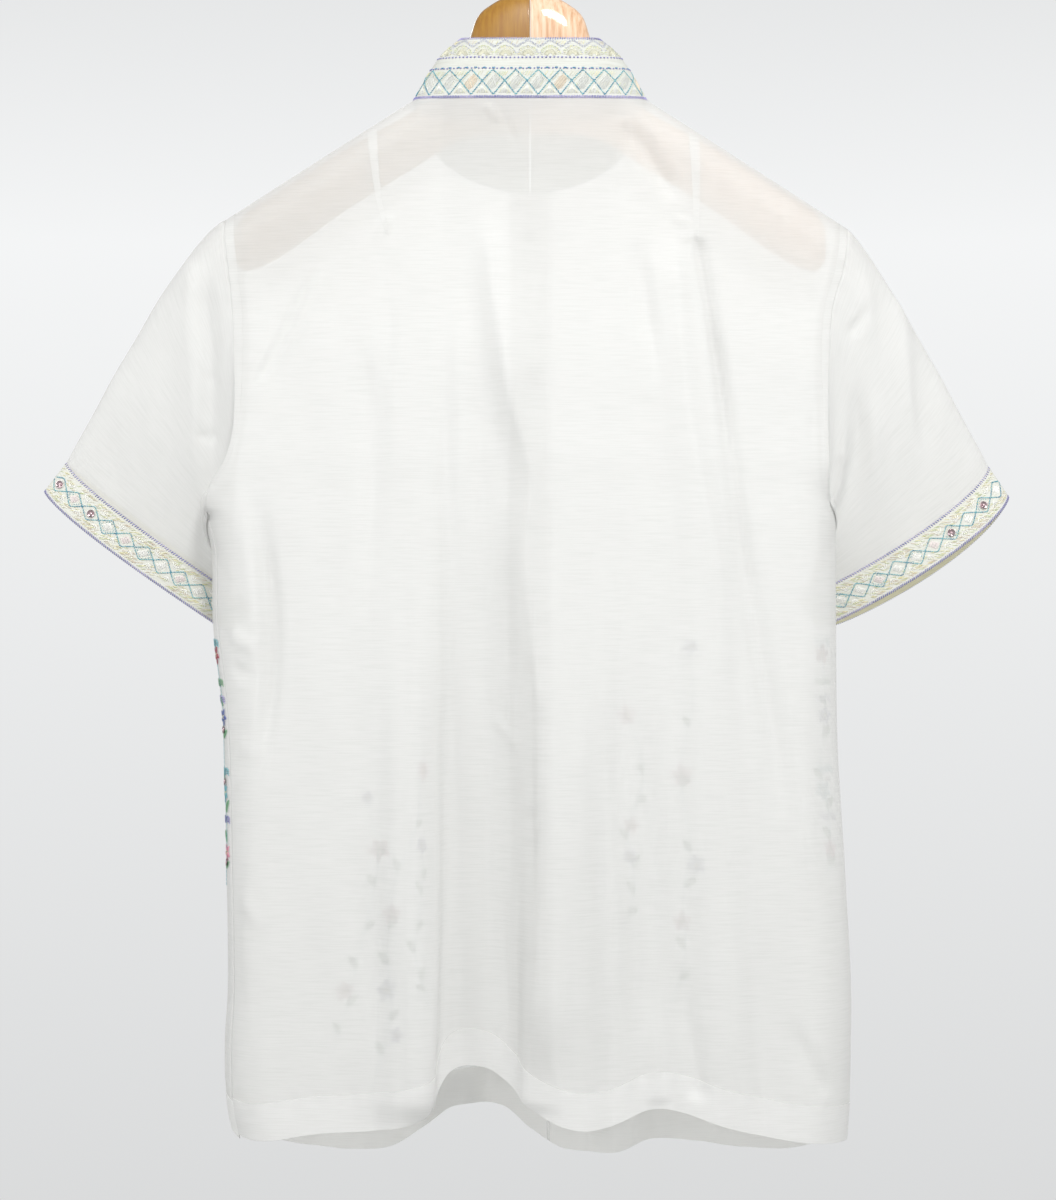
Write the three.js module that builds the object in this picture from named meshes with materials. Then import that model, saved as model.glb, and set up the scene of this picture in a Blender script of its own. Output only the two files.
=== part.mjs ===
// Short-sleeved blouse of thin white cloth with embroidered bands, hanging on a
// wooden hanger.  Millimetres, +Z up.  The front faces -Y and the wearer's left
// is +X.  The origin is the inside top of the hanger's hook, where a rail carries it.
import * as THREE from 'three';

// ---------------------------------------------------------------- driving sizes
const CLOTH = 1.2;               // wall of the single cloth
const BAND_WALL = 2.0;           // wall of the embroidered, doubled bands
const SEAM_GAP = 0.3;            // between pieces that are sewn together
const ARMHOLE_GAP = 2.4;         // sideways, which leaves about 0.4 across the slanting seam
const UNDERARM_GAP = 3;          // the same under the arm, where the seam is steepest
const SLEEVE_ROOM = 3;           // between a sleeve's inner end and the body's side
const SLEEVE_ROOM_TOP = 34;      // height above the underarm where that room starts
const SLEEVE_ROOM_RAMP = 20;     // and the height over which it grows to the whole
const EDGE_GAP = 0.8;            // between two cut edges that meet end to end
const CUFF_GAP = 1.2;            // between a sleeve and its cuff, at the slant

const NECK_HALF_WIDTH = 83;      // side neck points
const NECK_Z = -130;             // their height
const NECK_BACK_DEPTH = 30;      // neck ring, from the shoulder seam to its back
const NECK_FRONT_DEPTH = 36;     // and to its front
const NECK_BACK_RISE = -3;       // the back neck seam dips a little
const NECK_FRONT_DROP = 60;      // the front neck seam hangs lower
const LEFT_TIP = { x: 217, z: -213 };      // ends of the shoulder seams
const RIGHT_TIP = { x: -226, z: -219 };
const LEFT_UNDERARM = -425;
const RIGHT_UNDERARM = -420;
const UNDERARM_ROUND = 36;       // height over which the armhole closes under the arm
const SHOULDER_ROUND = 28;       // height over which the cloth rounds over the hanger
const SEAM_ANGLE = { left: 35, right: -20 };   // side seams on the rounded edges, degrees
const EDGE_ZONE = 0.12;          // share of a panel that its rounded edge takes
const STILL_ZONE = 0.3;          // share of that edge which no fold reaches
const NECK_SQUARE = 2.6;         // the neck ring is a squarish oval
const NECK_EASE = 130;           // height over which the cloth eases in below the neck
const SHOULDER_BEND = 18;        // how far the hanger bends the shoulders to the front
const HEM_BEND = 6;              // and what is left of that at the hem
const HEM_LEVEL = -850;
const HEM_DEPTH = 26;
const HEM_END_INSET = 0.15;      // share of a cell by which a hem stops short of a seam
const COLLAR_HEIGHT = 43;
const COLLAR_INSET = 2.6;        // its lower edge stands this far inside the neck seam
const COLLAR_LIFT = 1.4;         // its edge stands this far above the neck seam
const COLLAR_TOP_DEPTH = 0.82;   // its top ring's depth, as a share of its base's
const CUFF_WIDTH = 26;
const PLACKET = { left: 15, right: -16 };      // edges of the front band, in x
const UNDERLAP_X = -13;          // the left front ends here, under the band
const BUTTON = { count: 6, radius: 5.5, thick: 2.4, first: -222, pitch: 104, sides: 12 };

// Half depth and side edges of the body at each height.
const SECTIONS = [
  { z: -870, left: 210, right: -225.5, depth: 36 },
  { z: -842, left: 215.5, right: -227.5, depth: 36 },
  { z: -800, left: 217, right: -228.5, depth: 36 },
  { z: -758, left: 215, right: -228.5, depth: 35 },
  { z: -667, left: 216.5, right: -223.5, depth: 34 },
  { z: -597, left: 218, right: -219.5, depth: 33 },
  { z: -555, left: 220.5, right: -218.5, depth: 32 },
  { z: -500, left: 226.5, right: -218, depth: 30 },
  { z: -450, left: 227.5, right: -218, depth: 28 },
  { z: -425, left: 232.5, right: -217.5, depth: 27 },
  { z: -405, left: 227.5, right: -212, depth: 26 },
  { z: -385, left: 215.5, right: -211, depth: 26 },
  { z: -360, left: 209.5, right: -210.5, depth: 25 },
  { z: -313, left: 209, right: -211, depth: 25 },
  { z: -276, left: 210.5, right: -214, depth: 24 },
  { z: -250, left: 213.5, right: -221.5, depth: 24 },
  { z: -213, left: 217, right: -226, depth: 24 },
  { z: -110, left: 217, right: -226, depth: 24 },
];

// Hem lines, from the left edge to the right.
const BACK_HEM = [
  { x: 225, z: -852 }, { x: 196, z: -864 }, { x: 147, z: -858 }, { x: 105, z: -855 },
  { x: 75, z: -846 }, { x: 58, z: -818 }, { x: 34, z: -814 }, { x: 15, z: -824 },
  { x: -4, z: -843 }, { x: -30, z: -854 }, { x: -54, z: -853 }, { x: -83, z: -842 },
  { x: -105, z: -843 }, { x: -140, z: -854 }, { x: -185, z: -864 }, { x: -230, z: -868 },
];
const FRONT_HEM = [
  { x: 225, z: -852 }, { x: 188, z: -873 }, { x: 150, z: -880 }, { x: 105, z: -882 },
  { x: 78, z: -866 }, { x: 55, z: -848 }, { x: 20, z: -850 }, { x: 0, z: -866 },
  { x: -25, z: -881 }, { x: -60, z: -882 }, { x: -85, z: -874 }, { x: -120, z: -877 },
  { x: -182, z: -882 }, { x: -208, z: -877 }, { x: -230, z: -868 },
];

// The largest folds.  Each runs from its top to the hem: its middle is at x on
// the hem and at topX where it starts, and depth is how far it stands out (or,
// below zero, falls in) at the hem.
const BACK_FOLDS = [
  { x: 37, topX: 48, topZ: -290, halfWidth: 46, depth: -20 },
  { x: 88, topX: 88, topZ: -420, halfWidth: 22, depth: 5 },
  { x: -30, topX: -24, topZ: -380, halfWidth: 30, depth: 7 },
  { x: -90, topX: -64, topZ: -470, halfWidth: 26, depth: -5 },
  { x: -138, topX: -112, topZ: -250, halfWidth: 28, depth: 5 },
];
const FRONT_FOLDS = [
  { x: 54, topX: 62, topZ: -360, halfWidth: 28, depth: -15 },
  { x: 112, topX: 98, topZ: -330, halfWidth: 30, depth: 7 },
  { x: -66, topX: -70, topZ: -400, halfWidth: 26, depth: -13 },
  { x: -118, topX: -100, topZ: -330, halfWidth: 30, depth: 6 },
];

// Sleeve openings: the outer and inner ends of the lower edge, how far the tube
// stands open, and how far its back and front edges bow down.  The bow leans
// towards the outer end.  cap is how far the top of the sleeve swells.
const SLEEVES = {
  left: {
    outer: [352, -46, -406], inner: [218, -52, -510],
    halfOpen: 14, backBow: 5, frontBow: 2, lean: 0.8, cap: 9,
  },
  right: {
    outer: [-347, -46, -410], inner: [-209, -52, -503],
    halfOpen: 17, backBow: 13, frontBow: 20, lean: 0.25, cap: 5,
  },
};
const CAP_WAY = { out: 0.8, up: 0.6 };   // which way the top swells
const CAP_SKEW = 0.6;            // below 1, the swelling is nearer the shoulder
const HANG_FIRST = 2;            // above 1, a sleeve's inner side goes down before it goes out
const SLEEVE_CELLS = 6;

// Half width of the collar as it rises, as shares of its height and of its base.
const COLLAR_PROFILE = [
  { rise: 0, width: 1 }, { rise: 0.6, width: 0.82 },
  { rise: 0.84, width: 0.71 }, { rise: 1, width: 0.6 },
];

// One half of the hanger, from its joint to its tip.
const ARM_SECTIONS = [
  { x: 0.2, top: -54.1, bottom: -154, half: 12 },
  { x: 14, top: -55.9, bottom: -154, half: 12 },
  { x: 28, top: -62.7, bottom: -154.5, half: 12 },
  { x: 38, top: -72.3, bottom: -155.5, half: 11 },
  { x: 44, top: -90, bottom: -157, half: 9.5 },
  { x: 54, top: -112, bottom: -160, half: 8.5 },
  { x: 79, top: -134.5, bottom: -176, half: 6 },
  { x: 130, top: -163, bottom: -207, half: 14 },
  { x: 180, top: -194, bottom: -241, half: 17 },
  { x: 204, top: -209, bottom: -250, half: 16 },
  { x: 211, top: -219, bottom: -244, half: 9 },
];
const ARM_SIDES = 12;
const ARM_SQUARE = 0.75;         // below 1, the arm's section is a squarish oval
const WIRE_RADIUS = 2;
const WIRE_SEGMENTS = 4;         // of half its section
const HOOK_RADIUS = 24;          // middle of the wire
const HOOK_TURN = { from: 205, to: -50, step: 15 };      // degrees
const HOOK_FOOT = [{ x: 4.5, up: 10.5 }, { x: 0.6, up: 5 }, { x: 0, up: 0 }];
const HOOK_STEPS = 40;

// ---------------------------------------------------------------- small helpers
const radians = THREE.MathUtils.degToRad;
const lerp = THREE.MathUtils.lerp;
const clamp01 = (value) => Math.min(1, Math.max(0, value));
const smooth = (value) => { const c = clamp01(value); return c * c * (3 - 2 * c); };
const quarterRound = (value) => Math.sqrt(1 - (1 - clamp01(value)) ** 2);
const point = (x, y, z) => new THREE.Vector3(x, y, z);

// A smooth curve through a table's rows: the value of column `key` where column
// `by` is `at`.
function along(rows, by, key, at) {
  const rising = rows[1][by] > rows[0][by];
  const last = rows.length - 1;
  let i = 0;
  while (i < last - 1 && (rising ? at > rows[i + 1][by] : at < rows[i + 1][by])) i += 1;
  const [a, b] = [rows[i], rows[i + 1]];
  const [before, after] = [rows[Math.max(0, i - 1)], rows[Math.min(last, i + 2)]];
  const span = b[by] - a[by];
  const f = clamp01((at - a[by]) / span);
  const slopeA = (b[key] - before[key]) / (b[by] - before[by]) * span;
  const slopeB = (after[key] - a[key]) / (after[by] - a[by]) * span;
  return (2 * f ** 3 - 3 * f ** 2 + 1) * a[key] + (f ** 3 - 2 * f ** 2 + f) * slopeA
    + (3 * f ** 2 - 2 * f ** 3) * b[key] + (f ** 3 - f ** 2) * slopeB;
}

// ---------------------------------------------------------------- the body's form
const section = (key, z) => along(SECTIONS, 'z', key, z);

function bend(x, z) {
  const share = clamp01((z - NECK_Z) / (HEM_LEVEL - NECK_Z));
  return -lerp(SHOULDER_BEND, HEM_BEND, share) * (x / LEFT_TIP.x) ** 2;
}

function shoulderHeight(x) {
  const tip = x > 0 ? LEFT_TIP : RIGHT_TIP;
  const share = (Math.abs(x) - NECK_HALF_WIDTH) / (Math.abs(tip.x) - NECK_HALF_WIDTH);
  return lerp(NECK_Z, tip.z, share);
}

// The neck ring: its depth as a share of the whole, and its height, where `across`
// runs from 0 at the middle to 1 at the side neck points.
const neckRound = (across) => (1 - across ** NECK_SQUARE) ** (1 / NECK_SQUARE);
const neckHeight = (across, face) => (
  NECK_Z + (face > 0 ? NECK_BACK_RISE : -NECK_FRONT_DROP) * Math.sqrt(1 - across ** 2));

// The top edge of a panel at x: its height and its depth from the shoulder seam.
function topEdge(x, face) {
  const across = Math.abs(x) / NECK_HALF_WIDTH;
  if (across >= 1) return { z: shoulderHeight(x), y: face * EDGE_GAP / 2 };
  const depth = (face > 0 ? NECK_BACK_DEPTH : NECK_FRONT_DEPTH) * neckRound(across);
  return { z: neckHeight(across, face), y: face * Math.max(EDGE_GAP / 2, depth) };
}

// How a fold grows: its half width where it starts, as a share of its half width at
// the hem, how soon it is at its deepest, and how broad its crest is.
const FOLD = { start: 0.75, growth: 1.4, crest: 1.25 };

function foldDepth(folds, x, z, hemZ) {
  let sum = 0;
  for (const fold of folds) {
    const down = clamp01((z - fold.topZ) / (hemZ - fold.topZ));
    const middle = lerp(fold.topX, fold.x, down);
    const off = Math.abs(x - middle) / (fold.halfWidth * lerp(FOLD.start, 1, down));
    if (off < 1) {
      sum += fold.depth * smooth(down * FOLD.growth) * smooth(FOLD.crest * (1 - off));
    }
  }
  return sum;
}

// A point of the body's surface.  face is 1 for the back and -1 for the front,
// share runs from the left side seam (0) to the right one (1).
function bodyPoint(face, share, z) {
  const radius = section('depth', z);
  const leftEdge = section('left', z);
  const rightEdge = section('right', z);
  const side = share < EDGE_ZONE ? 'left' : share > 1 - EDGE_ZONE ? 'right' : null;
  const inward = Math.min(share, 1 - share) / EDGE_ZONE;
  const toMiddle = (Math.min(share, 1 - share) - EDGE_ZONE) / (0.5 - EDGE_ZONE);
  const flatX = side === 'left' ? leftEdge - radius * inward
    : side === 'right' ? rightEdge + radius * inward
      : (share < 0.5 ? leftEdge - radius : rightEdge + radius) * (1 - toMiddle);
  if (!side) return point(flatX, face * radius, z);
  const underarm = side === 'left' ? LEFT_UNDERARM : RIGHT_UNDERARM;
  const seam = radians(SEAM_ANGLE[side]);
  const cut = face * EDGE_GAP / 2 / radius;
  const angle = lerp(seam + cut, face * Math.PI / 2, inward);
  const edge = side === 'left' ? leftEdge : rightEdge;
  const sign = side === 'left' ? 1 : -1;
  const open = quarterRound((z - underarm) / UNDERARM_ROUND);
  const roundX = edge - sign * radius * (1 - Math.cos(angle));
  return point(lerp(roundX, flatX, open), lerp(radius * Math.sin(angle), face * radius, open), z);
}

// The same point with its top edge, its folds and the hanger's bend.
function panelPoint(face, share, z, edge) {
  const base = bodyPoint(face, share, z);
  const folds = face > 0 ? BACK_FOLDS : FRONT_FOLDS;
  const fall = edge.topZ - z;
  const rim = face * Math.min(face * edge.topY, Math.max(face * base.y, EDGE_GAP / 2));
  const still = smooth(Math.min(share, 1 - share) / EDGE_ZONE - STILL_ZONE);
  const y = rim + (base.y - rim) * quarterRound(fall / SHOULDER_ROUND)
    + (edge.topY - rim) * (1 - smooth(fall / NECK_EASE))
    + face * foldDepth(folds, base.x, z, edge.hemZ) * still;
  return point(base.x, y + bend(base.x, z), z);
}

// Ends of the column of a panel that starts at `share`.
const SETTLING_STEPS = 6;
function columnEdge(face, share) {
  let z = NECK_Z;
  for (let i = 0; i < SETTLING_STEPS; i += 1) z = topEdge(bodyPoint(face, share, z).x, face).z;
  const x = bodyPoint(face, share, z).x;
  const hem = face > 0 ? BACK_HEM : FRONT_HEM;
  let hemZ = HEM_LEVEL;
  for (let i = 0; i < SETTLING_STEPS; i += 1) {
    hemZ = along(hem, 'x', 'z', bodyPoint(face, share, hemZ).x);
  }
  const top = topEdge(x, face);
  return { topZ: top.z, topY: top.y, hemZ };
}

// The share at which a panel's column passes x, at the height of its top, found
// by halving.
const HALVINGS = 40;
function shareAt(face, x) {
  let [low, high] = [EDGE_ZONE, 1 - EDGE_ZONE];
  for (let i = 0; i < HALVINGS; i += 1) {
    const middle = (low + high) / 2;
    if (bodyPoint(face, middle, NECK_Z).x > x) low = middle; else high = middle;
  }
  return (low + high) / 2;
}

// Rows of a column: from the hem to the top of the hem, the underarm and the top.
const LOWER_ROWS = [0.12, 0.24, 0.36, 0.48, 0.6, 0.71, 0.82, 0.91, 1];
const UPPER_ROWS = [0.06, 0.16, 0.3, 0.46, 0.61, 0.74, 0.84, 0.92, 0.97, 1];

function column(face, share) {
  const edge = columnEdge(face, share);
  const underarm = lerp(LEFT_UNDERARM, RIGHT_UNDERARM, share);
  const hemTop = edge.hemZ + HEM_DEPTH;
  const heights = [edge.hemZ, hemTop,
    ...LOWER_ROWS.map((row) => lerp(hemTop, underarm, row)),
    ...UPPER_ROWS.map((row) => lerp(underarm, edge.topZ, row))];
  return heights.map((z) => panelPoint(face, share, z, edge));
}

// Shares of the columns between named stops, with the number of cells in each.
function sharesBetween(stops, cells) {
  const shares = [stops[0]];
  cells.forEach((count, i) => {
    for (let k = 1; k <= count; k += 1) shares.push(lerp(stops[i], stops[i + 1], k / count));
  });
  return shares;
}

// ---------------------------------------------------------------- closed walls
function normalAt(grid, i, j, wraps) {
  const rows = grid.length;
  const columns = grid[0].length;
  const up = grid[Math.min(rows - 1, i + 1)][j].clone().sub(grid[Math.max(0, i - 1)][j]);
  const right = wraps ? (j + 1) % columns : Math.min(columns - 1, j + 1);
  const left = wraps ? (j + columns - 1) % columns : Math.max(0, j - 1);
  return grid[i][right].clone().sub(grid[i][left]).cross(up).normalize();
}

// A closed wall of thickness `wall` about a grid of points, moved out by `lift`
// along the grid's normals.
function wallGeometry(grid, wall, lift = 0, wraps = false) {
  const rows = grid.length;
  const columns = grid[0].length;
  const layers = [lift + wall / 2, lift - wall / 2].map((move) => grid.map((row, i) => (
    row.map((p, j) => p.clone().addScaledVector(normalAt(grid, i, j, wraps), move)))));
  const positions = layers.flat(2).flatMap((p) => [p.x, p.y, p.z]);
  const at = (layer, i, j) => layer * rows * columns + i * columns + (j % columns);
  const faces = [];
  const quad = (a, b, c, d) => faces.push(a, b, c, a, c, d);
  const cells = wraps ? columns : columns - 1;
  for (let i = 0; i < rows - 1; i += 1) {
    for (let j = 0; j < cells; j += 1) {
      quad(at(0, i, j), at(0, i, j + 1), at(0, i + 1, j + 1), at(0, i + 1, j));
      quad(at(1, i, j), at(1, i + 1, j), at(1, i + 1, j + 1), at(1, i, j + 1));
    }
  }
  for (let j = 0; j < cells; j += 1) {
    quad(at(1, 0, j), at(1, 0, j + 1), at(0, 0, j + 1), at(0, 0, j));
    quad(at(0, rows - 1, j), at(0, rows - 1, j + 1), at(1, rows - 1, j + 1), at(1, rows - 1, j));
  }
  if (!wraps) {
    for (let i = 0; i < rows - 1; i += 1) {
      quad(at(0, i, 0), at(0, i + 1, 0), at(1, i + 1, 0), at(1, i, 0));
      quad(at(1, i, cells), at(1, i + 1, cells), at(0, i + 1, cells), at(0, i, cells));
    }
  }
  return closedGeometry(positions, faces);
}

function closedGeometry(positions, faces) {
  const geometry = new THREE.BufferGeometry();
  geometry.setAttribute('position', new THREE.Float32BufferAttribute(positions, 3));
  geometry.setIndex(facingOut(positions, faces));
  geometry.computeVertexNormals();
  return geometry;
}

function facingOut(positions, faces) {
  const corner = (k) => point(...positions.slice(3 * k, 3 * k + 3));
  let volume = 0;
  for (let f = 0; f < faces.length; f += 3) {
    const [a, b, c] = [corner(faces[f]), corner(faces[f + 1]), corner(faces[f + 2])];
    volume += a.dot(b.cross(c));
  }
  return volume > 0 ? faces : faces.slice().reverse();
}

const transpose = (lines) => lines[0].map((_, i) => lines.map((line) => line[i]));

// ---------------------------------------------------------------- materials
const finish = (color, roughness, metalness = 0) => (
  () => new THREE.MeshStandardMaterial({ color, roughness, metalness }));
const cloth = finish(0xf1f1ee, 0.85);
const band = finish(0xe9ebe0, 0.8);
const button = finish(0xf4f2ea, 0.35);
const wood = finish(0xc0904e, 0.35);
const wire = finish(0xc9c9c7, 0.25, 1);

const blouse = new THREE.Group();
function add(name, geometry, material) {
  const mesh = new THREE.Mesh(geometry, material());
  mesh.name = name;
  blouse.add(mesh);
  return mesh;
}

// ---------------------------------------------------------------- back and fronts
const neckLeft = { back: shareAt(1, NECK_HALF_WIDTH), front: shareAt(-1, NECK_HALF_WIDTH) };
const neckRight = { back: shareAt(1, -NECK_HALF_WIDTH), front: shareAt(-1, -NECK_HALF_WIDTH) };

const backShares = sharesBetween(
  [0, EDGE_ZONE, neckLeft.back, neckRight.back, 1 - EDGE_ZONE, 1], [4, 4, 13, 4, 4]);
const backGrid = transpose(backShares.map((share) => column(1, share)));

const frontLeftShares = sharesBetween(
  [0, EDGE_ZONE, neckLeft.front, shareAt(-1, PLACKET.left), shareAt(-1, UNDERLAP_X)],
  [4, 4, 5, 2]);
const frontRightShares = sharesBetween(
  [shareAt(-1, UNDERLAP_X - EDGE_GAP), shareAt(-1, PLACKET.right), neckRight.front,
    1 - EDGE_ZONE, 1],
  [1, 5, 4, 4]);
const frontLeftGrid = transpose(frontLeftShares.map((share) => column(-1, share)));
const frontRightGrid = transpose(frontRightShares.map((share) => column(-1, share)));

// The back is one piece of cloth.  Its solid is in two, which part at the underarms.
const UNDERARM_ROW = 1 + LOWER_ROWS.length;
const backUpperGrid = backGrid.slice(UNDERARM_ROW);
backUpperGrid[0] = backUpperGrid[0].map((p, j) => (
  p.clone().add(backUpperGrid[1][j].clone().sub(p).setLength(EDGE_GAP))));

add('back_upper', wallGeometry(backUpperGrid, CLOTH), cloth);
add('back_lower', wallGeometry(backGrid.slice(0, UNDERARM_ROW + 1), CLOTH), cloth);
add('front_left', wallGeometry(frontLeftGrid, CLOTH), cloth);
add('front_right', wallGeometry(frontRightGrid, CLOTH), cloth);

// The turned-up hems lie on the inside of their panels and stop short of the seams.
function hemGrid(grid) {
  return grid.slice(0, 2).map((row) => row.map((p, j) => {
    const next = j === 0 ? row[1] : j === row.length - 1 ? row[j - 1] : p;
    return p.clone().lerp(next, HEM_END_INSET);
  }));
}
const inside = CLOTH + SEAM_GAP;
add('hem_back', wallGeometry(hemGrid(backGrid), CLOTH, -inside), cloth);
add('hem_front_left', wallGeometry(hemGrid(frontLeftGrid), CLOTH, inside), cloth);
add('hem_front_right', wallGeometry(hemGrid(frontRightGrid), CLOTH, inside), cloth);

// The front band lies on the outside of both fronts.
const onFront = CLOTH + 2 * SEAM_GAP;
const placketMiddle = (PLACKET.left + PLACKET.right) / 2;
const placketShares = [PLACKET.left, placketMiddle, PLACKET.right].map((x) => shareAt(-1, x));
const placketGrid = transpose(placketShares.map((share) => column(-1, share)));
add('placket', wallGeometry(placketGrid, CLOTH, -onFront), cloth);

for (let i = 0; i < BUTTON.count; i += 1) {
  const share = shareAt(-1, 0);
  const edge = columnEdge(-1, share);
  const z = BUTTON.first - BUTTON.pitch * i;
  const [above, below] = [z + BUTTON.radius, z - BUTTON.radius]
    .map((height) => panelPoint(-1, share, height, edge));
  const normal = point(1, 0, 0).cross(above.clone().sub(below)).normalize();
  const away = onFront + CLOTH / 2 + SEAM_GAP + BUTTON.thick / 2;
  const disc = new THREE.CylinderGeometry(
    BUTTON.radius, BUTTON.radius, BUTTON.thick, BUTTON.sides);
  const mesh = add(`button_${i + 1}`, disc, button);
  mesh.quaternion.setFromUnitVectors(point(0, 1, 0), normal);
  mesh.position.copy(above.add(below).multiplyScalar(0.5).addScaledVector(normal, away));
}

// ---------------------------------------------------------------- sleeves and cuffs
// The armhole as a ring: under the arm, up the back, the shoulder tip, down the front.
function armhole(share) {
  const [back, front] = [1, -1].map((face) => column(face, share).slice(UNDERARM_ROW));
  const last = back.length - 1;
  const middle = (k) => back[k].clone().lerp(front[k], 0.5);
  return [middle(0), ...back.slice(1, last), middle(last), ...front.slice(1, last).reverse()];
}

// Keeps the inner end of a sleeve clear of the body's rounded side.
function clearOfBody(p, side) {
  const underarm = side === 'left' ? LEFT_UNDERARM : RIGHT_UNDERARM;
  const sign = side === 'left' ? 1 : -1;
  const radius = section('depth', p.z);
  const centre = section(side, p.z) - sign * radius;
  const dx = Math.max(0, sign * (p.x - centre));
  const dy = p.y - bend(centre, p.z);
  const share = smooth((underarm + SLEEVE_ROOM_TOP - p.z) / SLEEVE_ROOM_RAMP);
  const need = (radius + CLOTH + SLEEVE_ROOM) * share;
  const have = Math.hypot(dx, dy);
  if (have >= need) return p;
  return point(centre + sign * dx * need / have, bend(centre, p.z) + dy * need / have, p.z);
}

// The rings of a sleeve and of its cuff, from the armhole to the lower edge.
function sleeveRings(side) {
  const shape = SLEEVES[side];
  const sign = side === 'left' ? 1 : -1;
  const start = armhole(side === 'left' ? 0 : 1);
  start.forEach((p) => { p.x += sign * ARMHOLE_GAP; });
  start[0].x = section(side, start[0].z) + sign * UNDERARM_GAP;
  const [outer, inner] = [point(...shape.outer), point(...shape.inner)];
  const middle = outer.clone().lerp(inner, 0.5);
  const reach = inner.clone().sub(middle);
  const up = reach.clone().cross(point(0, -sign, 0)).normalize();
  const turn = (k) => 2 * Math.PI * k / start.length;
  const edge = start.map((_, k) => {
    const [c, s] = [Math.cos(turn(k)), Math.sin(turn(k))];
    const bow = (s > 0 ? shape.backBow : shape.frontBow) * Math.abs(s) * (1 - shape.lean * c);
    return middle.clone().addScaledVector(reach, c).add(point(0, shape.halfOpen * s, -bow));
  });
  const ring = (lift) => edge.map((p) => p.clone().addScaledVector(up, lift));
  const seam = ring(CUFF_WIDTH + CUFF_GAP);
  const sleeve = [];
  for (let i = 0; i <= SLEEVE_CELLS; i += 1) {
    const down = i / SLEEVE_CELLS;
    const swell = shape.cap * Math.sin(Math.PI * down ** CAP_SKEW);
    sleeve.push(start.map((p, k) => {
      const cap = swell * Math.max(0, -Math.cos(turn(k)));
      const moved = p.clone().lerp(seam[k], down);
      // Under the arm the cloth first hangs straight, then turns in before the body.
      const late = lerp(down, down ** HANG_FIRST, Math.max(0, Math.cos(turn(k))));
      moved.x = lerp(p.x, seam[k].x, late);
      return clearOfBody(moved.add(point(sign * CAP_WAY.out * cap, 0, CAP_WAY.up * cap)), side);
    }));
  }
  const cuff = [ring(CUFF_WIDTH), ring(CUFF_WIDTH / 2), ring(0)]
    .map((points) => points.map((p) => clearOfBody(p, side)));
  return { sleeve, cuff };
}

for (const side of ['left', 'right']) {
  const { sleeve, cuff } = sleeveRings(side);
  add(`sleeve_${side}`, wallGeometry(sleeve, CLOTH, 0, true), cloth);
  add(`cuff_${side}`, wallGeometry(cuff, BAND_WALL, 0, true), band);
}

// ---------------------------------------------------------------- collar
// The collar's ring starts beside the middle of the front and goes round the back.
function collarPoint(turn, rise) {
  const face = Math.sign(Math.sin(turn));
  const across = Math.abs(Math.cos(turn));
  const depth = (face > 0 ? NECK_BACK_DEPTH : NECK_FRONT_DEPTH) - COLLAR_INSET / 2;
  const width = along(COLLAR_PROFILE, 'rise', 'width', rise);
  const x = (NECK_HALF_WIDTH - COLLAR_INSET) * Math.cos(turn);
  return point(x * width, face * depth * neckRound(across) * lerp(1, COLLAR_TOP_DEPTH, rise)
    + bend(x, NECK_Z),
    neckHeight(across, face) + COLLAR_LIFT + COLLAR_HEIGHT * rise);
}

const COLLAR_CELLS = 40;
const collarStart = -Math.PI / 2 + EDGE_GAP / NECK_HALF_WIDTH;
const collarGrid = COLLAR_PROFILE.map(({ rise }) => (
  Array.from({ length: COLLAR_CELLS + 1 }, (_, k) => (
    collarPoint(lerp(collarStart, Math.PI - collarStart, k / COLLAR_CELLS), rise)))));
add('collar', wallGeometry(collarGrid, BAND_WALL), band);

// ---------------------------------------------------------------- hanger
// A closed loft through rings of equal length, with flat ends.
function loftGeometry(rings) {
  const sides = rings[0].length;
  const points = rings.flat();
  const faces = [];
  for (let i = 0; i < rings.length - 1; i += 1) {
    for (let k = 0; k < sides; k += 1) {
      const [a, b] = [i * sides + k, i * sides + (k + 1) % sides];
      faces.push(a, b, b + sides, a, b + sides, a + sides);
    }
  }
  for (let k = 1; k < sides - 1; k += 1) {
    const last = (rings.length - 1) * sides;
    faces.push(0, k + 1, k, last, last + k, last + k + 1);
  }
  return closedGeometry(points.flatMap((p) => [p.x, p.y, p.z]), faces);
}

function armGeometry(sign) {
  return loftGeometry(ARM_SECTIONS.map(({ x, top, bottom, half }) => (
    Array.from({ length: ARM_SIDES }, (_, k) => {
      const turn = 2 * Math.PI * k / ARM_SIDES;
      const squarish = (value) => Math.sign(value) * Math.abs(value) ** ARM_SQUARE;
      return point(sign * x, bend(x, top) + half * squarish(Math.cos(turn)),
        lerp(bottom, top, 0.5 + 0.5 * squarish(Math.sin(turn))));
    }))));
}
add('hanger_left', armGeometry(1), wood);
add('hanger_right', armGeometry(-1), wood);

function hookGeometry() {
  const centreZ = WIRE_RADIUS - HOOK_RADIUS;
  const points = [];
  for (let turn = HOOK_TURN.from; turn >= HOOK_TURN.to; turn -= HOOK_TURN.step) {
    points.push(point(HOOK_RADIUS * Math.cos(radians(turn)), 0,
      centreZ + HOOK_RADIUS * Math.sin(radians(turn))));
  }
  const foot = ARM_SECTIONS[0].top + 2 * SEAM_GAP;
  points.push(...HOOK_FOOT.map(({ x, up }) => point(x, 0, foot + up)));
  const round = new THREE.Shape().absarc(0, 0, WIRE_RADIUS, 0, 2 * Math.PI);
  return new THREE.ExtrudeGeometry(round, {
    steps: HOOK_STEPS, curveSegments: WIRE_SEGMENTS, bevelEnabled: false,
    extrudePath: new THREE.CatmullRomCurve3(points),
  });
}
add('hanger_hook', hookGeometry(), wire);

export default blouse;
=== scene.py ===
"""The looks of a short-sleeved white blouse with embroidered bands on a wooden hanger.

Lengths in the tables are millimetres in the model's own frame: +Z up, the front
towards -Y, the wearer's left towards +X, the origin inside the hanger's hook.
"""
import math

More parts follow.
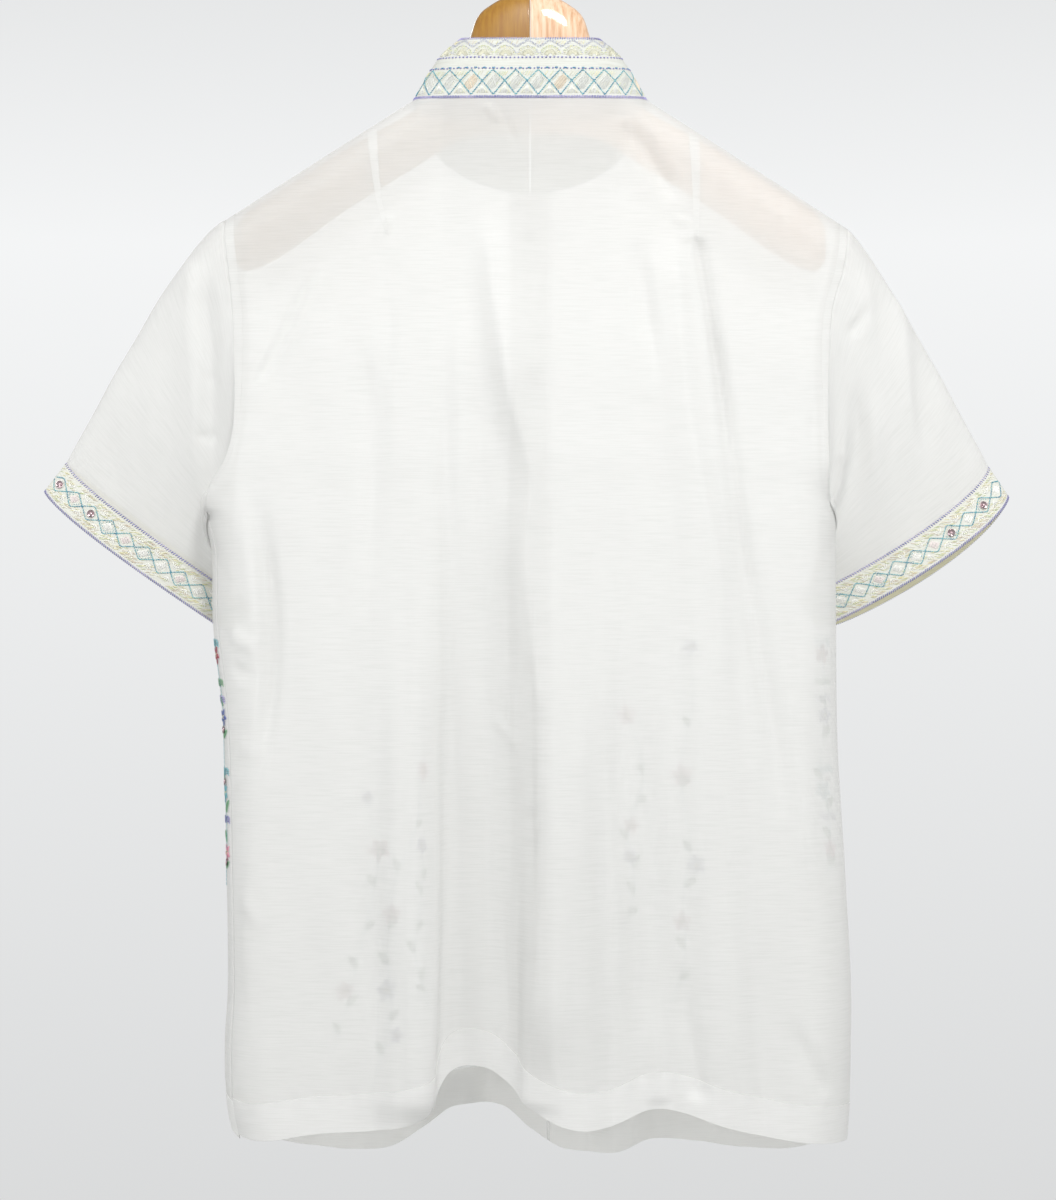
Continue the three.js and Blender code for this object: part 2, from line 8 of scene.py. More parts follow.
import bpy
import numpy as np
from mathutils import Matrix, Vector


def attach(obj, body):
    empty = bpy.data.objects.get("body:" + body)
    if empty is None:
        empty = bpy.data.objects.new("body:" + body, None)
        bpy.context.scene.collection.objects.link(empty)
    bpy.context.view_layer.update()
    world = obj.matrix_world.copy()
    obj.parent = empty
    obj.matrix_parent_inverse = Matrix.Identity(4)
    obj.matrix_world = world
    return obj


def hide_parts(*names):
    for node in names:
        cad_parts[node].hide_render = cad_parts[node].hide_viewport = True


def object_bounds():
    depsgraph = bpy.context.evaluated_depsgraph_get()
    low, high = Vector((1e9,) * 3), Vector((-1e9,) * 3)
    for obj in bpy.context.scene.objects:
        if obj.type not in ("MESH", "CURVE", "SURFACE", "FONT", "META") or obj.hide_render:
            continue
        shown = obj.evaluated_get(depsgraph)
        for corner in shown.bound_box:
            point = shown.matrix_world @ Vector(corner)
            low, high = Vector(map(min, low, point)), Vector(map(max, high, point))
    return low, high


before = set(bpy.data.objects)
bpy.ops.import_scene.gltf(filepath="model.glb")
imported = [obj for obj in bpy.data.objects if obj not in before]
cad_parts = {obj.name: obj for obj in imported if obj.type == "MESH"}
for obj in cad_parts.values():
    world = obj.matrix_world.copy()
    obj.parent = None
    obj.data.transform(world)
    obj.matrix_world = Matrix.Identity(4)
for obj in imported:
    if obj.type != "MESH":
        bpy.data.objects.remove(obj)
cad_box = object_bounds()
MM = 0.001


# ------------------------------------------------------------ tables
def table(columns, rows):
    """Rows of numbers as one array for each named column."""
    return dict(zip(columns.split(), np.array(rows, float).T))


def along(rows, by, key, at):
    """A smooth curve through a table: column `key` where column `by` is `at`."""
    x, y = rows[by], rows[key]
    if x[0] > x[-1]:
        x, y = x[::-1], y[::-1]
    padded_x = np.concatenate([x[:1], x, x[-1:]])
    padded_y = np.concatenate([y[:1], y, y[-1:]])
    slope = (padded_y[2:] - padded_y[:-2]) / (padded_x[2:] - padded_x[:-2])
    at = np.clip(at, x[0], x[-1])
    i = np.clip(np.searchsorted(x, at) - 1, 0, len(x) - 2)
    span = x[i + 1] - x[i]
    f = (at - x[i]) / span
    return ((2 * f**3 - 3 * f**2 + 1) * y[i] + (f**3 - 2 * f**2 + f) * slope[i] * span
            + (3 * f**2 - 2 * f**3) * y[i + 1] + (f**3 - f**2) * slope[i + 1] * span)


# ------------------------------------------------------------ sizes shared with the solids
CLOTH_WALL = 0.45          # real cloth, inside the solids' 1.2
BAND_WALL = 1.1            # collar and cuffs
NECK_HALF_WIDTH, NECK_Z = 83, -130
NECK_BACK_DEPTH, NECK_FRONT_DEPTH = 30, 36
NECK_BACK_DROP, NECK_FRONT_DROP = 3, 60
NECK_SQUARE, NECK_EASE = 2.6, 130
TIPS = {1: (217, -213), -1: (226, -219)}
UNDERARMS = {1: -425, -1: -420}
UNDERARM_ROUND, SHOULDER_ROUND = 36, 28
SEAM_ANGLES = {1: math.radians(35), -1: math.radians(-20)}
EDGE_ZONE = 0.12           # share of a panel's width over which its side seam rounds over
EDGE_GAP = 0.25            # half the gap between back and front along the shoulders
SHOULDER_BEND, HEM_BEND = 18, 6
HEM_DEPTH, HEM_LEVEL = 26, -850
COLLAR_HEIGHT, COLLAR_INSET, COLLAR_LIFT = 43, 0.6, -0.5
CUFF_WIDTH = 26
PLACKET_LEFT, PLACKET_RIGHT, UNDERLAP_X = 15, -16, -13

SECTIONS = table("z left right depth", [
    (-870, 210, -225.5, 36), (-842, 215.5, -227.5, 36), (-800, 217, -228.5, 36),
    (-758, 215, -228.5, 35), (-667, 216.5, -223.5, 34), (-597, 218, -219.5, 33),
    (-555, 220.5, -218.5, 32), (-500, 226.5, -218, 30), (-450, 227.5, -218, 28),
    (-425, 232.5, -217.5, 27), (-405, 227.5, -212, 26), (-385, 215.5, -211, 26),
    (-360, 209.5, -210.5, 25), (-313, 209, -211, 25), (-276, 210.5, -214, 24),
    (-250, 213.5, -221.5, 24), (-213, 217, -226, 24), (-110, 217, -226, 24),
])
BACK_HEM = table("x z", [
    (225, -852), (196, -864), (147, -858), (105, -855), (75, -846), (58, -818),
    (34, -814), (15, -824), (-4, -843), (-30, -854), (-54, -853), (-83, -842),
    (-105, -843), (-140, -854), (-185, -864), (-230, -868),
])
FRONT_HEM = table("x z", [
    (225, -852), (188, -873), (150, -880), (105, -882), (78, -866), (55, -848),
    (20, -850), (0, -866), (-25, -881), (-60, -882), (-85, -874), (-120, -877),
    (-182, -882), (-208, -877), (-230, -868),
])
BACK_FOLDS = [
    dict(x=37, top_x=48, top_z=-290, half_width=46, depth=-20),
    dict(x=88, top_x=88, top_z=-420, half_width=22, depth=5),
    dict(x=-30, top_x=-24, top_z=-380, half_width=30, depth=7),
    dict(x=-90, top_x=-64, top_z=-470, half_width=26, depth=-5),
    dict(x=-138, top_x=-112, top_z=-250, half_width=28, depth=5),
]
FRONT_FOLDS = [
    dict(x=54, top_x=62, top_z=-360, half_width=28, depth=-15),
    dict(x=112, top_x=98, top_z=-330, half_width=30, depth=7),
    dict(x=-66, top_x=-70, top_z=-400, half_width=26, depth=-13),
    dict(x=-118, top_x=-100, top_z=-330, half_width=30, depth=6),
]
SLEEVES = {
    1: dict(outer=(352, -46, -406), inner=(218, -52, -510),
            half_open=14, back_bow=5, front_bow=2, lean=0.8, cap=9),
    -1: dict(outer=(-347, -46, -410), inner=(-209, -52, -503),
             half_open=17, back_bow=13, front_bow=20, lean=0.25, cap=5),
}
COLLAR_PROFILE = table("rise width", [(0, 1), (0.6, 0.82), (0.84, 0.71), (1, 0.6)])
COLLAR_TOP_DEPTH = 0.82    # the collar's depth at its top, as a share of that at the neck
ARMHOLE_HEIGHTS = np.array([0, 0.06, 0.16, 0.3, 0.46, 0.61, 0.74, 0.84, 0.92, 0.97, 1])


# ------------------------------------------------------------ the body's form
def lerp(a, b, f):
    return a + (b - a) * f


def smooth(value):
    c = np.clip(value, 0, 1)
    return c * c * (3 - 2 * c)


def quarter_round(value):
    """A quarter circle that rises from 0 to 1."""
    return np.sqrt(1 - (1 - np.clip(value, 0, 1)) ** 2)


def section(key, z):
    return along(SECTIONS, "z", key, z)


def bend(x, z):
    """How far the hanger's curve moves a point forward."""
    share = np.clip((z - NECK_Z) / (HEM_LEVEL - NECK_Z), 0, 1)
    return -lerp(SHOULDER_BEND, HEM_BEND, share) * (x / TIPS[1][0]) ** 2


def neck_round(across):
    """The neck opening's half outline, of 1 at its middle to 0 at its sides."""
    return (1 - np.clip(across, 0, 1) ** NECK_SQUARE) ** (1 / NECK_SQUARE)


def neck_height(across, face):
    """Height of the neck's edge, which dips a little at the back and deeply at the front."""
    drop = np.where(np.asarray(face) > 0, NECK_BACK_DROP, NECK_FRONT_DROP)
    return NECK_Z - drop * np.sqrt(1 - np.clip(across, 0, 1) ** 2)


def top_edge(x, face):
    """Height and depth of a panel's top edge at x."""
    across = np.abs(x) / NECK_HALF_WIDTH
    tip_x = np.where(x > 0, TIPS[1][0], TIPS[-1][0])
    tip_z = np.where(x > 0, TIPS[1][1], TIPS[-1][1])
    shoulder = lerp(NECK_Z, tip_z, (np.abs(x) - NECK_HALF_WIDTH) / (tip_x - NECK_HALF_WIDTH))
    depth = NECK_BACK_DEPTH if face > 0 else NECK_FRONT_DEPTH
    rounding = np.where(across < 1, neck_round(across), 0)
    return (np.where(across < 1, neck_height(across, face), shoulder),
            face * np.maximum(EDGE_GAP, depth * rounding))


def body_point(face, share, z):
    """A point of the body's plain form: face 1 is the back and -1 the front.

    share runs from 0 at the wearer's left side seam to 1 at the right one.
    """
    radius = section("depth", z)
    side = np.where(share < 0.5, 1, -1)
    edge = np.where(side > 0, section("left", z), section("right", z))
    from_edge = np.minimum(share, 1 - share)
    inward = np.clip(from_edge / EDGE_ZONE, 0, 1)
    to_middle = np.clip((from_edge - EDGE_ZONE) / (0.5 - EDGE_ZONE), 0, 1)
    flat_x = (edge - side * radius * inward) * (1 - to_middle)
    seam = np.where(side > 0, SEAM_ANGLES[1], SEAM_ANGLES[-1])
    angle = lerp(seam, face * np.pi / 2, inward)
    opened = quarter_round((z - np.where(side > 0, UNDERARMS[1], UNDERARMS[-1])) / UNDERARM_ROUND)
    round_x = edge - side * radius * (1 - np.cos(angle))
    in_zone = from_edge < EDGE_ZONE
    x = np.where(in_zone, lerp(round_x, flat_x, opened), flat_x)
    y = np.where(in_zone, lerp(radius * np.sin(angle), face * radius, opened), face * radius)
    return x, y


FOLD_TOP_WIDTH = 0.75      # a fold's width at its top, as a share of that at the hem
FOLD_GROWTH, FOLD_CREST = 1.4, 1.25      # how soon it is full deep, and how flat its crest is
STILL_EDGE = 0.3           # no fold reaches closer to a side seam, in shares of its rounding


def fold_depth(folds, x, z, hem_z):
    """How far out the largest folds move each point; they widen and deepen downwards."""
    total = np.zeros_like(x)
    for fold in folds:
        down = np.clip((z - fold["top_z"]) / (hem_z - fold["top_z"]), 0, 1)
        middle = lerp(fold["top_x"], fold["x"], down)
        off = np.abs(x - middle) / (fold["half_width"] * lerp(FOLD_TOP_WIDTH, 1, down))
        crest = smooth(FOLD_CREST * (1 - np.clip(off, 0, 1)))
        total += fold["depth"] * smooth(down * FOLD_GROWTH) * crest
    return total


SETTLING_ROUNDS = 6        # until a column's ends stop moving
HALVINGS = 40              # of the interval that a share is searched in


def column_ends(face, share):
    """Top height, top depth and hem height of the columns at `share`."""
    z = np.full_like(share, NECK_Z, dtype=float)
    for _ in range(SETTLING_ROUNDS):
        z = top_edge(body_point(face, share, z)[0], face)[0]
    top_z, top_y = top_edge(body_point(face, share, z)[0], face)
    hem = BACK_HEM if face > 0 else FRONT_HEM
    hem_z = np.full_like(share, HEM_LEVEL, dtype=float)
    for _ in range(SETTLING_ROUNDS):
        hem_z = along(hem, "x", "z", body_point(face, share, hem_z)[0])
    return top_z, top_y, hem_z


def panel_point(face, share, z, ends):
    """The body's form with its top edge, its largest folds and the hanger's bend."""
    top_z, top_y, hem_z = ends
    x, y = body_point(face, share, z)
    fall = top_z - z
    rim = face * np.minimum(face * top_y, np.maximum(face * y, EDGE_GAP))
    still = smooth(np.minimum(share, 1 - share) / EDGE_ZONE - STILL_EDGE)
    folds = BACK_FOLDS if face > 0 else FRONT_FOLDS
    y = (rim + (y - rim) * quarter_round(fall / SHOULDER_ROUND)
         + (top_y - rim) * (1 - smooth(fall / NECK_EASE))
         + face * fold_depth(folds, x, z, hem_z) * still)
    return np.stack([x, y + bend(x, z), z], axis=-1)


def share_at(face, x):
    """The share of a panel's width at which it passes x, at the height of the neck."""
    low, high = EDGE_ZONE, 1 - EDGE_ZONE
    for _ in range(HALVINGS):
        middle = (low + high) / 2
        if body_point(face, np.array(middle), np.array(float(NECK_Z)))[0] > x:
            low = middle
        else:
            high = middle
    return (low + high) / 2


# ------------------------------------------------------------ meshes
def unit(vectors):
    """Vectors of length one."""
    return vectors / np.maximum(np.linalg.norm(vectors, axis=-1, keepdims=True), 1e-9)


def turn_steps(count):
    """Equal steps of one whole turn."""
    return 2 * np.pi * np.arange(count) / count


def tube_faces(rings, sides):
    """Faces of a closed tube of rings of points: its quads, then its two flat ends."""
    quads = [(i * sides + k, i * sides + (k + 1) % sides,
              (i + 1) * sides + (k + 1) % sides, (i + 1) * sides + k)
             for i in range(rings - 1) for k in range(sides)]
    return [*quads, tuple(range(sides))[::-1],
            tuple((rings - 1) * sides + k for k in range(sides))]


def normals_of(grid, wraps=False):
    """Unit normals of a grid of points; columns join up where it wraps."""
    if wraps:
        right = np.roll(grid, -1, axis=1) - np.roll(grid, 1, axis=1)
    else:
        right = np.gradient(grid, axis=1)
    return unit(np.cross(right, np.gradient(grid, axis=0)))


def lengths_along(grid, axis):
    """Distance along the cloth from the first point, for its texture coordinates."""
    step = np.linalg.norm(np.diff(grid, axis=axis), axis=-1)
    zero = np.zeros_like(np.take(step, [0], axis=axis))
    return np.concatenate([zero, np.cumsum(step, axis=axis)], axis=axis)


def new_object(name, vertices, faces, material):
    """A smooth-shaded mesh in the scene; vertices in metres."""
    mesh = bpy.data.meshes.new(name)
    mesh.from_pydata(np.asarray(vertices).tolist(), [], [list(map(int, f)) for f in faces])
    mesh.validate()
    mesh.polygons.foreach_set("use_smooth", [True] * len(mesh.polygons))
    mesh.materials.append(material)
    obj = bpy.data.objects.new(name, mesh)
    bpy.context.scene.collection.objects.link(obj)
    return obj


def sheet_object(name, grid, wall, material, lift=0.0, wraps=False):
    """A closed thin shell about a grid of points in millimetres, with cloth lengths as UVs."""
    rows, columns = grid.shape[:2]
    normal = normals_of(grid, wraps)
    layers = [grid + normal * (lift + wall / 2), grid + normal * (lift - wall / 2)]
    vertices = np.concatenate([layer.reshape(-1, 3) for layer in layers]) * MM
    cells = columns if wraps else columns - 1
    i, j = np.meshgrid(np.arange(rows - 1), np.arange(cells), indexing="ij")
    k = (j + 1) % columns

    def at(layer, row, column):
        return (layer * rows * columns + row * columns + column).reshape(-1)

    faces = [np.stack([at(0, i, j), at(0, i, k), at(0, i + 1, k), at(0, i + 1, j)], 1),
             np.stack([at(1, i, j), at(1, i + 1, j), at(1, i + 1, k), at(1, i, k)], 1)]
    j, k, last = np.arange(cells), (np.arange(cells) + 1) % columns, rows - 1
    faces.append(np.stack([at(1, 0, j), at(1, 0, k), at(0, 0, k), at(0, 0, j)], 1))
    faces.append(np.stack([at(0, last, j), at(0, last, k), at(1, last, k), at(1, last, j)], 1))
    if not wraps:
        i = np.arange(rows - 1)
        faces.append(np.stack([at(0, i, 0), at(0, i + 1, 0), at(1, i + 1, 0), at(1, i, 0)], 1))
        faces.append(np.stack([at(1, i, cells), at(1, i + 1, cells),
                               at(0, i + 1, cells), at(0, i, cells)], 1))
    obj = new_object(name, vertices, np.concatenate(faces), material)
    for face in obj.data.polygons[2 * (rows - 1) * cells:]:
        face.use_smooth = False          # the cut edges
    face_out(obj)
    u = lengths_along(grid, 1) * MM
    v = grid[..., 2] * MM
    if wraps:
        v = lengths_along(grid, 0).mean(1, keepdims=True) * MM + 0 * u
    add_uv(obj, np.tile(np.stack([u, v], -1).reshape(-1, 2), (2, 1)))
    return obj


def face_out(obj):
    """Turns a closed mesh's faces outwards."""
    mesh = obj.data
    mesh.calc_loop_triangles()
    points = np.zeros(len(mesh.vertices) * 3)
    mesh.vertices.foreach_get("co", points)
    corners = np.zeros(len(mesh.loop_triangles) * 3, int)
    mesh.loop_triangles.foreach_get("vertices", corners)
    a, b, c = points.reshape(-1, 3)[corners.reshape(-1, 3)].transpose(1, 0, 2)
    if np.einsum("ij,ij->", a, np.cross(b, c)) < 0:
        mesh.flip_normals()


def add_uv(obj, by_vertex):
    """Gives a mesh texture coordinates that are known for each of its vertices."""
    layer = obj.data.uv_layers.new(name="cloth")
    index = np.zeros(len(obj.data.loops), int)
    obj.data.loops.foreach_get("vertex_index", index)
    layer.data.foreach_set("uv", by_vertex[index].astype(np.float32).reshape(-1))


# ------------------------------------------------------------ camera, light and floor
VIEW_HEIGHT = 840                        # what the picture takes in, top to bottom
VIEW_CENTRE = (1.5, 30, -485)
VIEW_DISTANCE = 2050
SENSOR = 36
FLOOR_DROP, FLOOR_RADIUS = 0.6, 2.2      # metres; the drop is from the hem
SKY_LEVELS = (0.52, 0.92, 0.4)           # of the light from below, about level and above
SKY_MIDDLE = 0.62                        # where the second falls, of 0 well below to 1 well above
SKY_TINT = (0.985, 0.995, 1)
LIGHTS = {   # place and aim in metres, width in metres, power in watts, colour
    "key": ((-0.3, 1.5, 0.9), (0, 0, -0.15), 0.4, 27, (1, 0.995, 0.985)),
    "left_fill": ((1.7, 1.1, 0.4), (0, 0, -0.4), 0.8, 11, (1, 1, 1)),
    "right_fill": ((-1.8, 1.0, 0.1), (0, 0, -0.4), 0.8, 6, (1, 1, 1)),
    "front_fill": ((0.3, -2.1, 0.1), (0, 0, -0.45), 1.2, 19, (1, 1, 1)),
}


def make_camera():
    camera = bpy.data.objects.new("camera", bpy.data.cameras.new("camera"))
    bpy.context.scene.collection.objects.link(camera)
    camera.data.sensor_width = SENSOR
    camera.data.lens = SENSOR * VIEW_DISTANCE / VIEW_HEIGHT
    x, y, z = (value * MM for value in VIEW_CENTRE)
    camera.location = (x, y + VIEW_DISTANCE * MM, z)
    camera.rotation_euler = (math.pi / 2, 0, math.pi)
    bpy.context.scene.camera = camera


def area_light(name, location, aim, size, power, color):
    light = bpy.data.lights.new(name, "AREA")
    light.shape, light.size, light.energy, light.color = "DISK", size, power, color
    obj = bpy.data.objects.new(name, light)
    bpy.context.scene.collection.objects.link(obj)
    obj.location = location
    way = Vector(aim) - Vector(location)
    obj.rotation_euler = way.to_track_quat("-Z", "Y").to_euler()


def make_light():
    """A studio sky that is brightest about level, and four soft lamps."""
    scene = bpy.context.scene
    scene.view_settings.view_transform = "Standard"
    world = bpy.data.worlds.new("studio")
    scene.world = world
    world.use_nodes = True
    tree = world.node_tree
    coordinates = tree.nodes.new("ShaderNodeTexCoord")
    parts = tree.nodes.new("ShaderNodeSeparateXYZ")
    height = tree.nodes.new("ShaderNodeMapRange")
    for name, value in (("From Min", -0.5), ("From Max", 0.5), ("To Min", 0), ("To Max", 1)):
        height.inputs[name].default_value = value
    sky = tree.nodes.new("ShaderNodeValToRGB")
    sky.color_ramp.elements.new(SKY_MIDDLE)
    for element, level in zip(sky.color_ramp.elements, SKY_LEVELS):
        element.color = (*(level * tint for tint in SKY_TINT), 1)
    tree.links.new(coordinates.outputs["Generated"], parts.inputs["Vector"])
    tree.links.new(parts.outputs["Z"], height.inputs["Value"])
    tree.links.new(height.outputs["Result"], sky.inputs["Fac"])
    tree.links.new(sky.outputs["Color"], tree.nodes["Background"].inputs["Color"])
    for name, settings in LIGHTS.items():
        area_light(name, *settings)


def make_floor():
    bpy.ops.mesh.primitive_circle_add(vertices=96, radius=FLOOR_RADIUS, fill_type="NGON",
                                      location=(0, 0, cad_box[0][2] - FLOOR_DROP))
    floor = bpy.context.object
    floor.name = "floor"
    floor.data.materials.append(plain_material("floor", (0.62, 0.62, 0.61), Roughness=0.9))


# ------------------------------------------------------------ materials
def plain_material(name, color, **sockets):
    """A Principled material; sockets are its inputs by name, with _ for a space."""
    material = bpy.data.materials.new(name)
    material.use_nodes = True
    shader = material.node_tree.nodes["Principled BSDF"]
    shader.inputs["Base Color"].default_value = (*color, 1)
    for socket, value in sockets.items():
        shader.inputs[socket.replace("_", " ")].default_value = value
    return material


class Nodes:
    """Short calls for building a material's nodes."""

    def __init__(self, material):
        self.tree = material.node_tree
        self.shader = self.tree.nodes["Principled BSDF"]

    def add(self, kind, **settings):
        node = self.tree.nodes.new(kind)
        for name, value in settings.items():
            setattr(node, name, value)
        return node

    def link(self, source, target):
        self.tree.links.new(source, target)

    def coordinates(self, scale, uv_map=None):
        """Texture coordinates, scaled by three numbers: cloth lengths or the object's own."""
        if uv_map:
            source = self.add("ShaderNodeUVMap", uv_map=uv_map).outputs["UV"]
        else:
            source = self.add("ShaderNodeTexCoord").outputs["Object"]
        mapping = self.add("ShaderNodeMapping")
        mapping.inputs["Scale"].default_value = scale
        self.link(source, mapping.inputs["Vector"])
        return mapping.outputs["Vector"]

    def noise(self, vector, detail, roughness):
        node = self.add("ShaderNodeTexNoise")
        node.inputs["Scale"].default_value = 1
        node.inputs["Detail"].default_value = detail
        node.inputs["Roughness"].default_value = roughness
        self.link(vector, node.inputs["Vector"])
        return node.outputs["Fac"]

    def ramp(self, value, stops):
        """Colours blended between stops of (position, colour)."""
        node = self.add("ShaderNodeValToRGB")
        elements = node.color_ramp.elements
        while len(elements) < len(stops):
            elements.new(0.5)
        for element, (position, color) in zip(elements, stops):
            element.position, element.color = position, (*color, 1)
        self.link(value, node.inputs["Fac"])
        return node.outputs["Color"]

    def bump(self, height, strength, distance):
        node = self.add("ShaderNodeBump")
        node.inputs["Strength"].default_value = strength
        node.inputs["Distance"].default_value = distance
        self.link(height, node.inputs["Height"])
        self.link(node.outputs["Normal"], self.shader.inputs["Normal"])


SLUB_SCALE = (38, 1300, 1)               # repeats a metre along and across the slubs
GRAIN_SCALE = (420, 300, 16)


def cloth_material(name, light, dark, alpha):
    """Plain weave: fine crosswise slubs as colour and bump, in metres of cloth."""
    material = plain_material(name, light, Roughness=0.85, Alpha=alpha,
                              Sheen_Weight=0.12, Sheen_Roughness=0.5,
                              Specular_IOR_Level=0.25)
    nodes = Nodes(material)
    slubs = nodes.noise(nodes.coordinates(SLUB_SCALE, "cloth"), 3, 0.6)
    nodes.link(nodes.ramp(slubs, [(0.36, dark), (0.56, light)]),
               nodes.shader.inputs["Base Color"])
    nodes.bump(slubs, 0.25, 0.0003)
    return material


def wood_material(name, light, middle, dark, coat, roughness=0.38):
    """Lacquered wood with upright grain."""
    material = plain_material(name, light, Roughness=roughness, Coat_Weight=coat,
                              Coat_Roughness=0.06, Specular_IOR_Level=0.4)
    nodes = Nodes(material)
    grain = nodes.noise(nodes.coordinates(GRAIN_SCALE), 4, 0.65)
    nodes.link(nodes.ramp(grain, [(0.34, dark), (0.5, middle), (0.66, light)]),
               nodes.shader.inputs["Base Color"])
    nodes.bump(grain, 0.15, 0.0002)
    return material


def srgb(red, green, blue):
    """A colour from its usual 0 to 255 values, as linear light."""
    c = np.array([red, green, blue]) / 255
    return tuple(np.where(c <= 0.04045, c / 12.92, ((c + 0.055) / 1.055) ** 2.4))


make_camera()
make_light()
make_floor()
CLOTH_COLORS = (0.86, 0.86, 0.845), (0.81, 0.81, 0.795)
double_cloth = cloth_material("double_cloth", (0.79, 0.79, 0.777), (0.755, 0.755, 0.74), 0.95)
seam_cloth = cloth_material("seam_cloth", *CLOTH_COLORS, 0.5)
# The fronts' hems get a lighter copy of the doubled cloth: painted light on their inside, which lies in
# the back panel's shade.
front_double_painted_light = cloth_material("front_double_cloth_painted_light", (0.93, 0.93, 0.91), (0.9, 0.9, 0.88), 0.9)
cloth = cloth_material("cloth", *CLOTH_COLORS, 0.48)
# The collar's cloth is a darker copy of the cuffs' band: painted shade against the extra light the
# collar takes from the key lamp.
collar_band_painted_shade = cloth_material("collar_band_painted_shade", srgb(206, 208, 202), srgb(196, 197, 189), 1.0)
band = cloth_material("band", srgb(219, 220, 212), srgb(209, 209, 199), 1.0)
lining = cloth_material("lining", srgb(233, 230, 204), srgb(226, 222, 194), 1.0)


# ------------------------------------------------------------ creases
CREST = 1.6                # how far round the line of a crease its crest is rounded
FULLNESS = 0.6             # of a crease's slopes: 0 is a sharp crest, 2 a full round one


def crease(path, height, left, right, start, end):
    """A ridge (or below zero, a trough) along a line of (x, z) points, top first.

    left and right are how far it spreads towards the wearer's left and right, and
    start and end the shares of its length over which it fades out at its ends.
    """
    return dict(path=np.array(path, float), height=height, left=left, right=right,
                start=start, end=end)


BACK_CREASES = [
    # the deep fold down the middle: its sharp left edge, its floor and its right crest
    crease([(70, -230), (69, -300), (67, -400), (66, -500), (68, -600), (70, -700), (74, -800),
            (76, -856)], 2.8, 50, 9, 0.3, 0.05),
    crease([(68, -420), (67, -500), (69, -600), (70, -700), (74, -800), (76, -856)],
           7.4, 56, 9.5, 0.9, 0.05),
    crease([(-1, -640), (-2, -700), (0, -760), (2, -845)], 4.0, 9, 34, 0.6, 0.05),
    crease([(31, -215), (27, -250), (20, -300), (12, -345), (0, -395)], 2.6, 12, 24, 0.15, 0.4),
    crease([(33, -200), (27, -250), (20, -300), (12, -345), (-1, -395), (3, -450), (-2, -500),
            (-7, -550), (-10, -610), (-11, -700), (-9, -765), (-7, -825)], 9.6, 20, 64, 0.22, 0.1),
    crease([(-52, -570), (-55, -640), (-58, -720), (-58, -800)], 2.6, 13, 15, 0.4, 0.3),
    crease([(14, -530), (11, -575), (12, -620)], 1.3, 5, 5, 0.4, 0.4),
    crease([(11, -670), (13, -720), (11, -775), (14, -822)], 1.4, 4, 5, 0.3, 0.2),
    crease([(-9, -533), (-11, -575)], 1.6, 7, 12, 0.4, 0.4),
    # below the dart on the right: a sharp valley between two soft crests
    crease([(-119, -228), (-122, -250), (-130, -300), (-138, -350), (-144, -400)],
           -5.5, 5, 6, 0.06, 0.7),
    crease([(-126, -275), (-137, -345), (-144, -400), (-150, -450), (-158, -500)],
           -4.8, 8, 9, 0.2, 0.4),
    crease([(-144, -400), (-150, -450), (-158, -500), (-166, -550), (-174, -600), (-182, -655)],
           -5.5, 12, 14, 0.3, 0.4),
    crease([(-98, -225), (-103, -260), (-106, -300), (-111, -350), (-119, -400), (-129, -450),
            (-135, -500), (-131, -560)], 4.6, 34, 14, 0.12, 0.4),
    crease([(-72, -225), (-77, -250), (-84, -290), (-92, -345)], -3.2, 11, 9, 0.3, 0.5),
    crease([(-100, -216), (-116, -222)], 1.2, 5, 4, 0.3, 0.3),
    crease([(-104, -232), (-118, -226)], 1.3, 4, 4, 0.3, 0.3),
    # between the collar and that dart
    crease([(-64, -146), (-78, -166), (-92, -186), (-104, -208)], -4.6, 11, 13, 0.25, 0.3),
    # below the dart on the left
    crease([(102, -230), (101, -262), (99, -300), (103, -345), (101, -390)], -1.6, 9, 7, 0.5, 0.6),
    crease([(94, -212), (104, -222), (110, -238)], 1.3, 5, 6, 0.3, 0.5),
    # broad soft waves
    crease([(124, -290), (112, -350), (111, -430), (113, -500), (108, -570)],
           -2.8, 16, 16, 0.2, 0.5),
    crease([(-69, -390), (-65, -460), (-64, -540), (-60, -640), (-64, -730)],
           -1.8, 14, 14, 0.3, 0.4),
    crease([(48, -250), (50, -330), (49, -420), (41, -500)], 2.4, 12, 16, 0.3, 0.4),
    crease([(-104, -730), (-108, -770), (-113, -800), (-118, -838)], -3.0, 11, 11, 0.4, 0.1),
    crease([(-86, -760), (-88, -800), (-90, -840)], 2.4, 14, 12, 0.5, 0.1),
    crease([(-178, -770), (-192, -800), (-212, -835)], -3.4, 16, 8, 0.5, 0.2),
    crease([(-186, -560), (-196, -640), (-198, -720)], 1.8, 22, 20, 0.5, 0.5),
    # the left side
    crease([(191, -405), (187, -445), (182, -485), (181, -525), (185, -575), (193, -625)],
           -6.5, 9, 9, 0.3, 0.4),
    crease([(205, -395), (198, -450), (193, -500), (192, -545)], 2.6, 12, 10, 0.4, 0.4),
    crease([(214, -508), (200, -516), (186, -521)], 2.2, 6, 8, 0.2, 0.5),
    crease([(212, -532), (200, -537), (190, -534)], -2.0, 6, 7, 0.2, 0.5),
    crease([(208, -588), (195, -592), (183, -586)], 1.3, 6, 8, 0.2, 0.6),
    crease([(206, -690), (195, -705), (182, -718)], 1.6, 8, 9, 0.2, 0.6),
    crease([(194, -640), (200, -720), (196, -800)], 2.0, 12, 16, 0.5, 0.4),
    # diagonals at the armhole and below the collar
    crease([(145, -240), (166, -280), (186, -320), (200, -335)], -1.9, 5, 5, 0.35, 0.2),
    crease([(140, -246), (160, -286), (180, -325)], 1.2, 7, 7, 0.4, 0.3),
    crease([(31, -136), (26, -143), (20, -152)], 1.7, 4, 4, 0.15, 0.5),
    crease([(25, -136), (21, -143), (12, -162), (4, -182)], -1.0, 3, 3, 0.15, 0.7),
    crease([(28, -565), (20, -574), (4, -592)], 1.1, 3.5, 3.5, 0.3, 0.4),
]
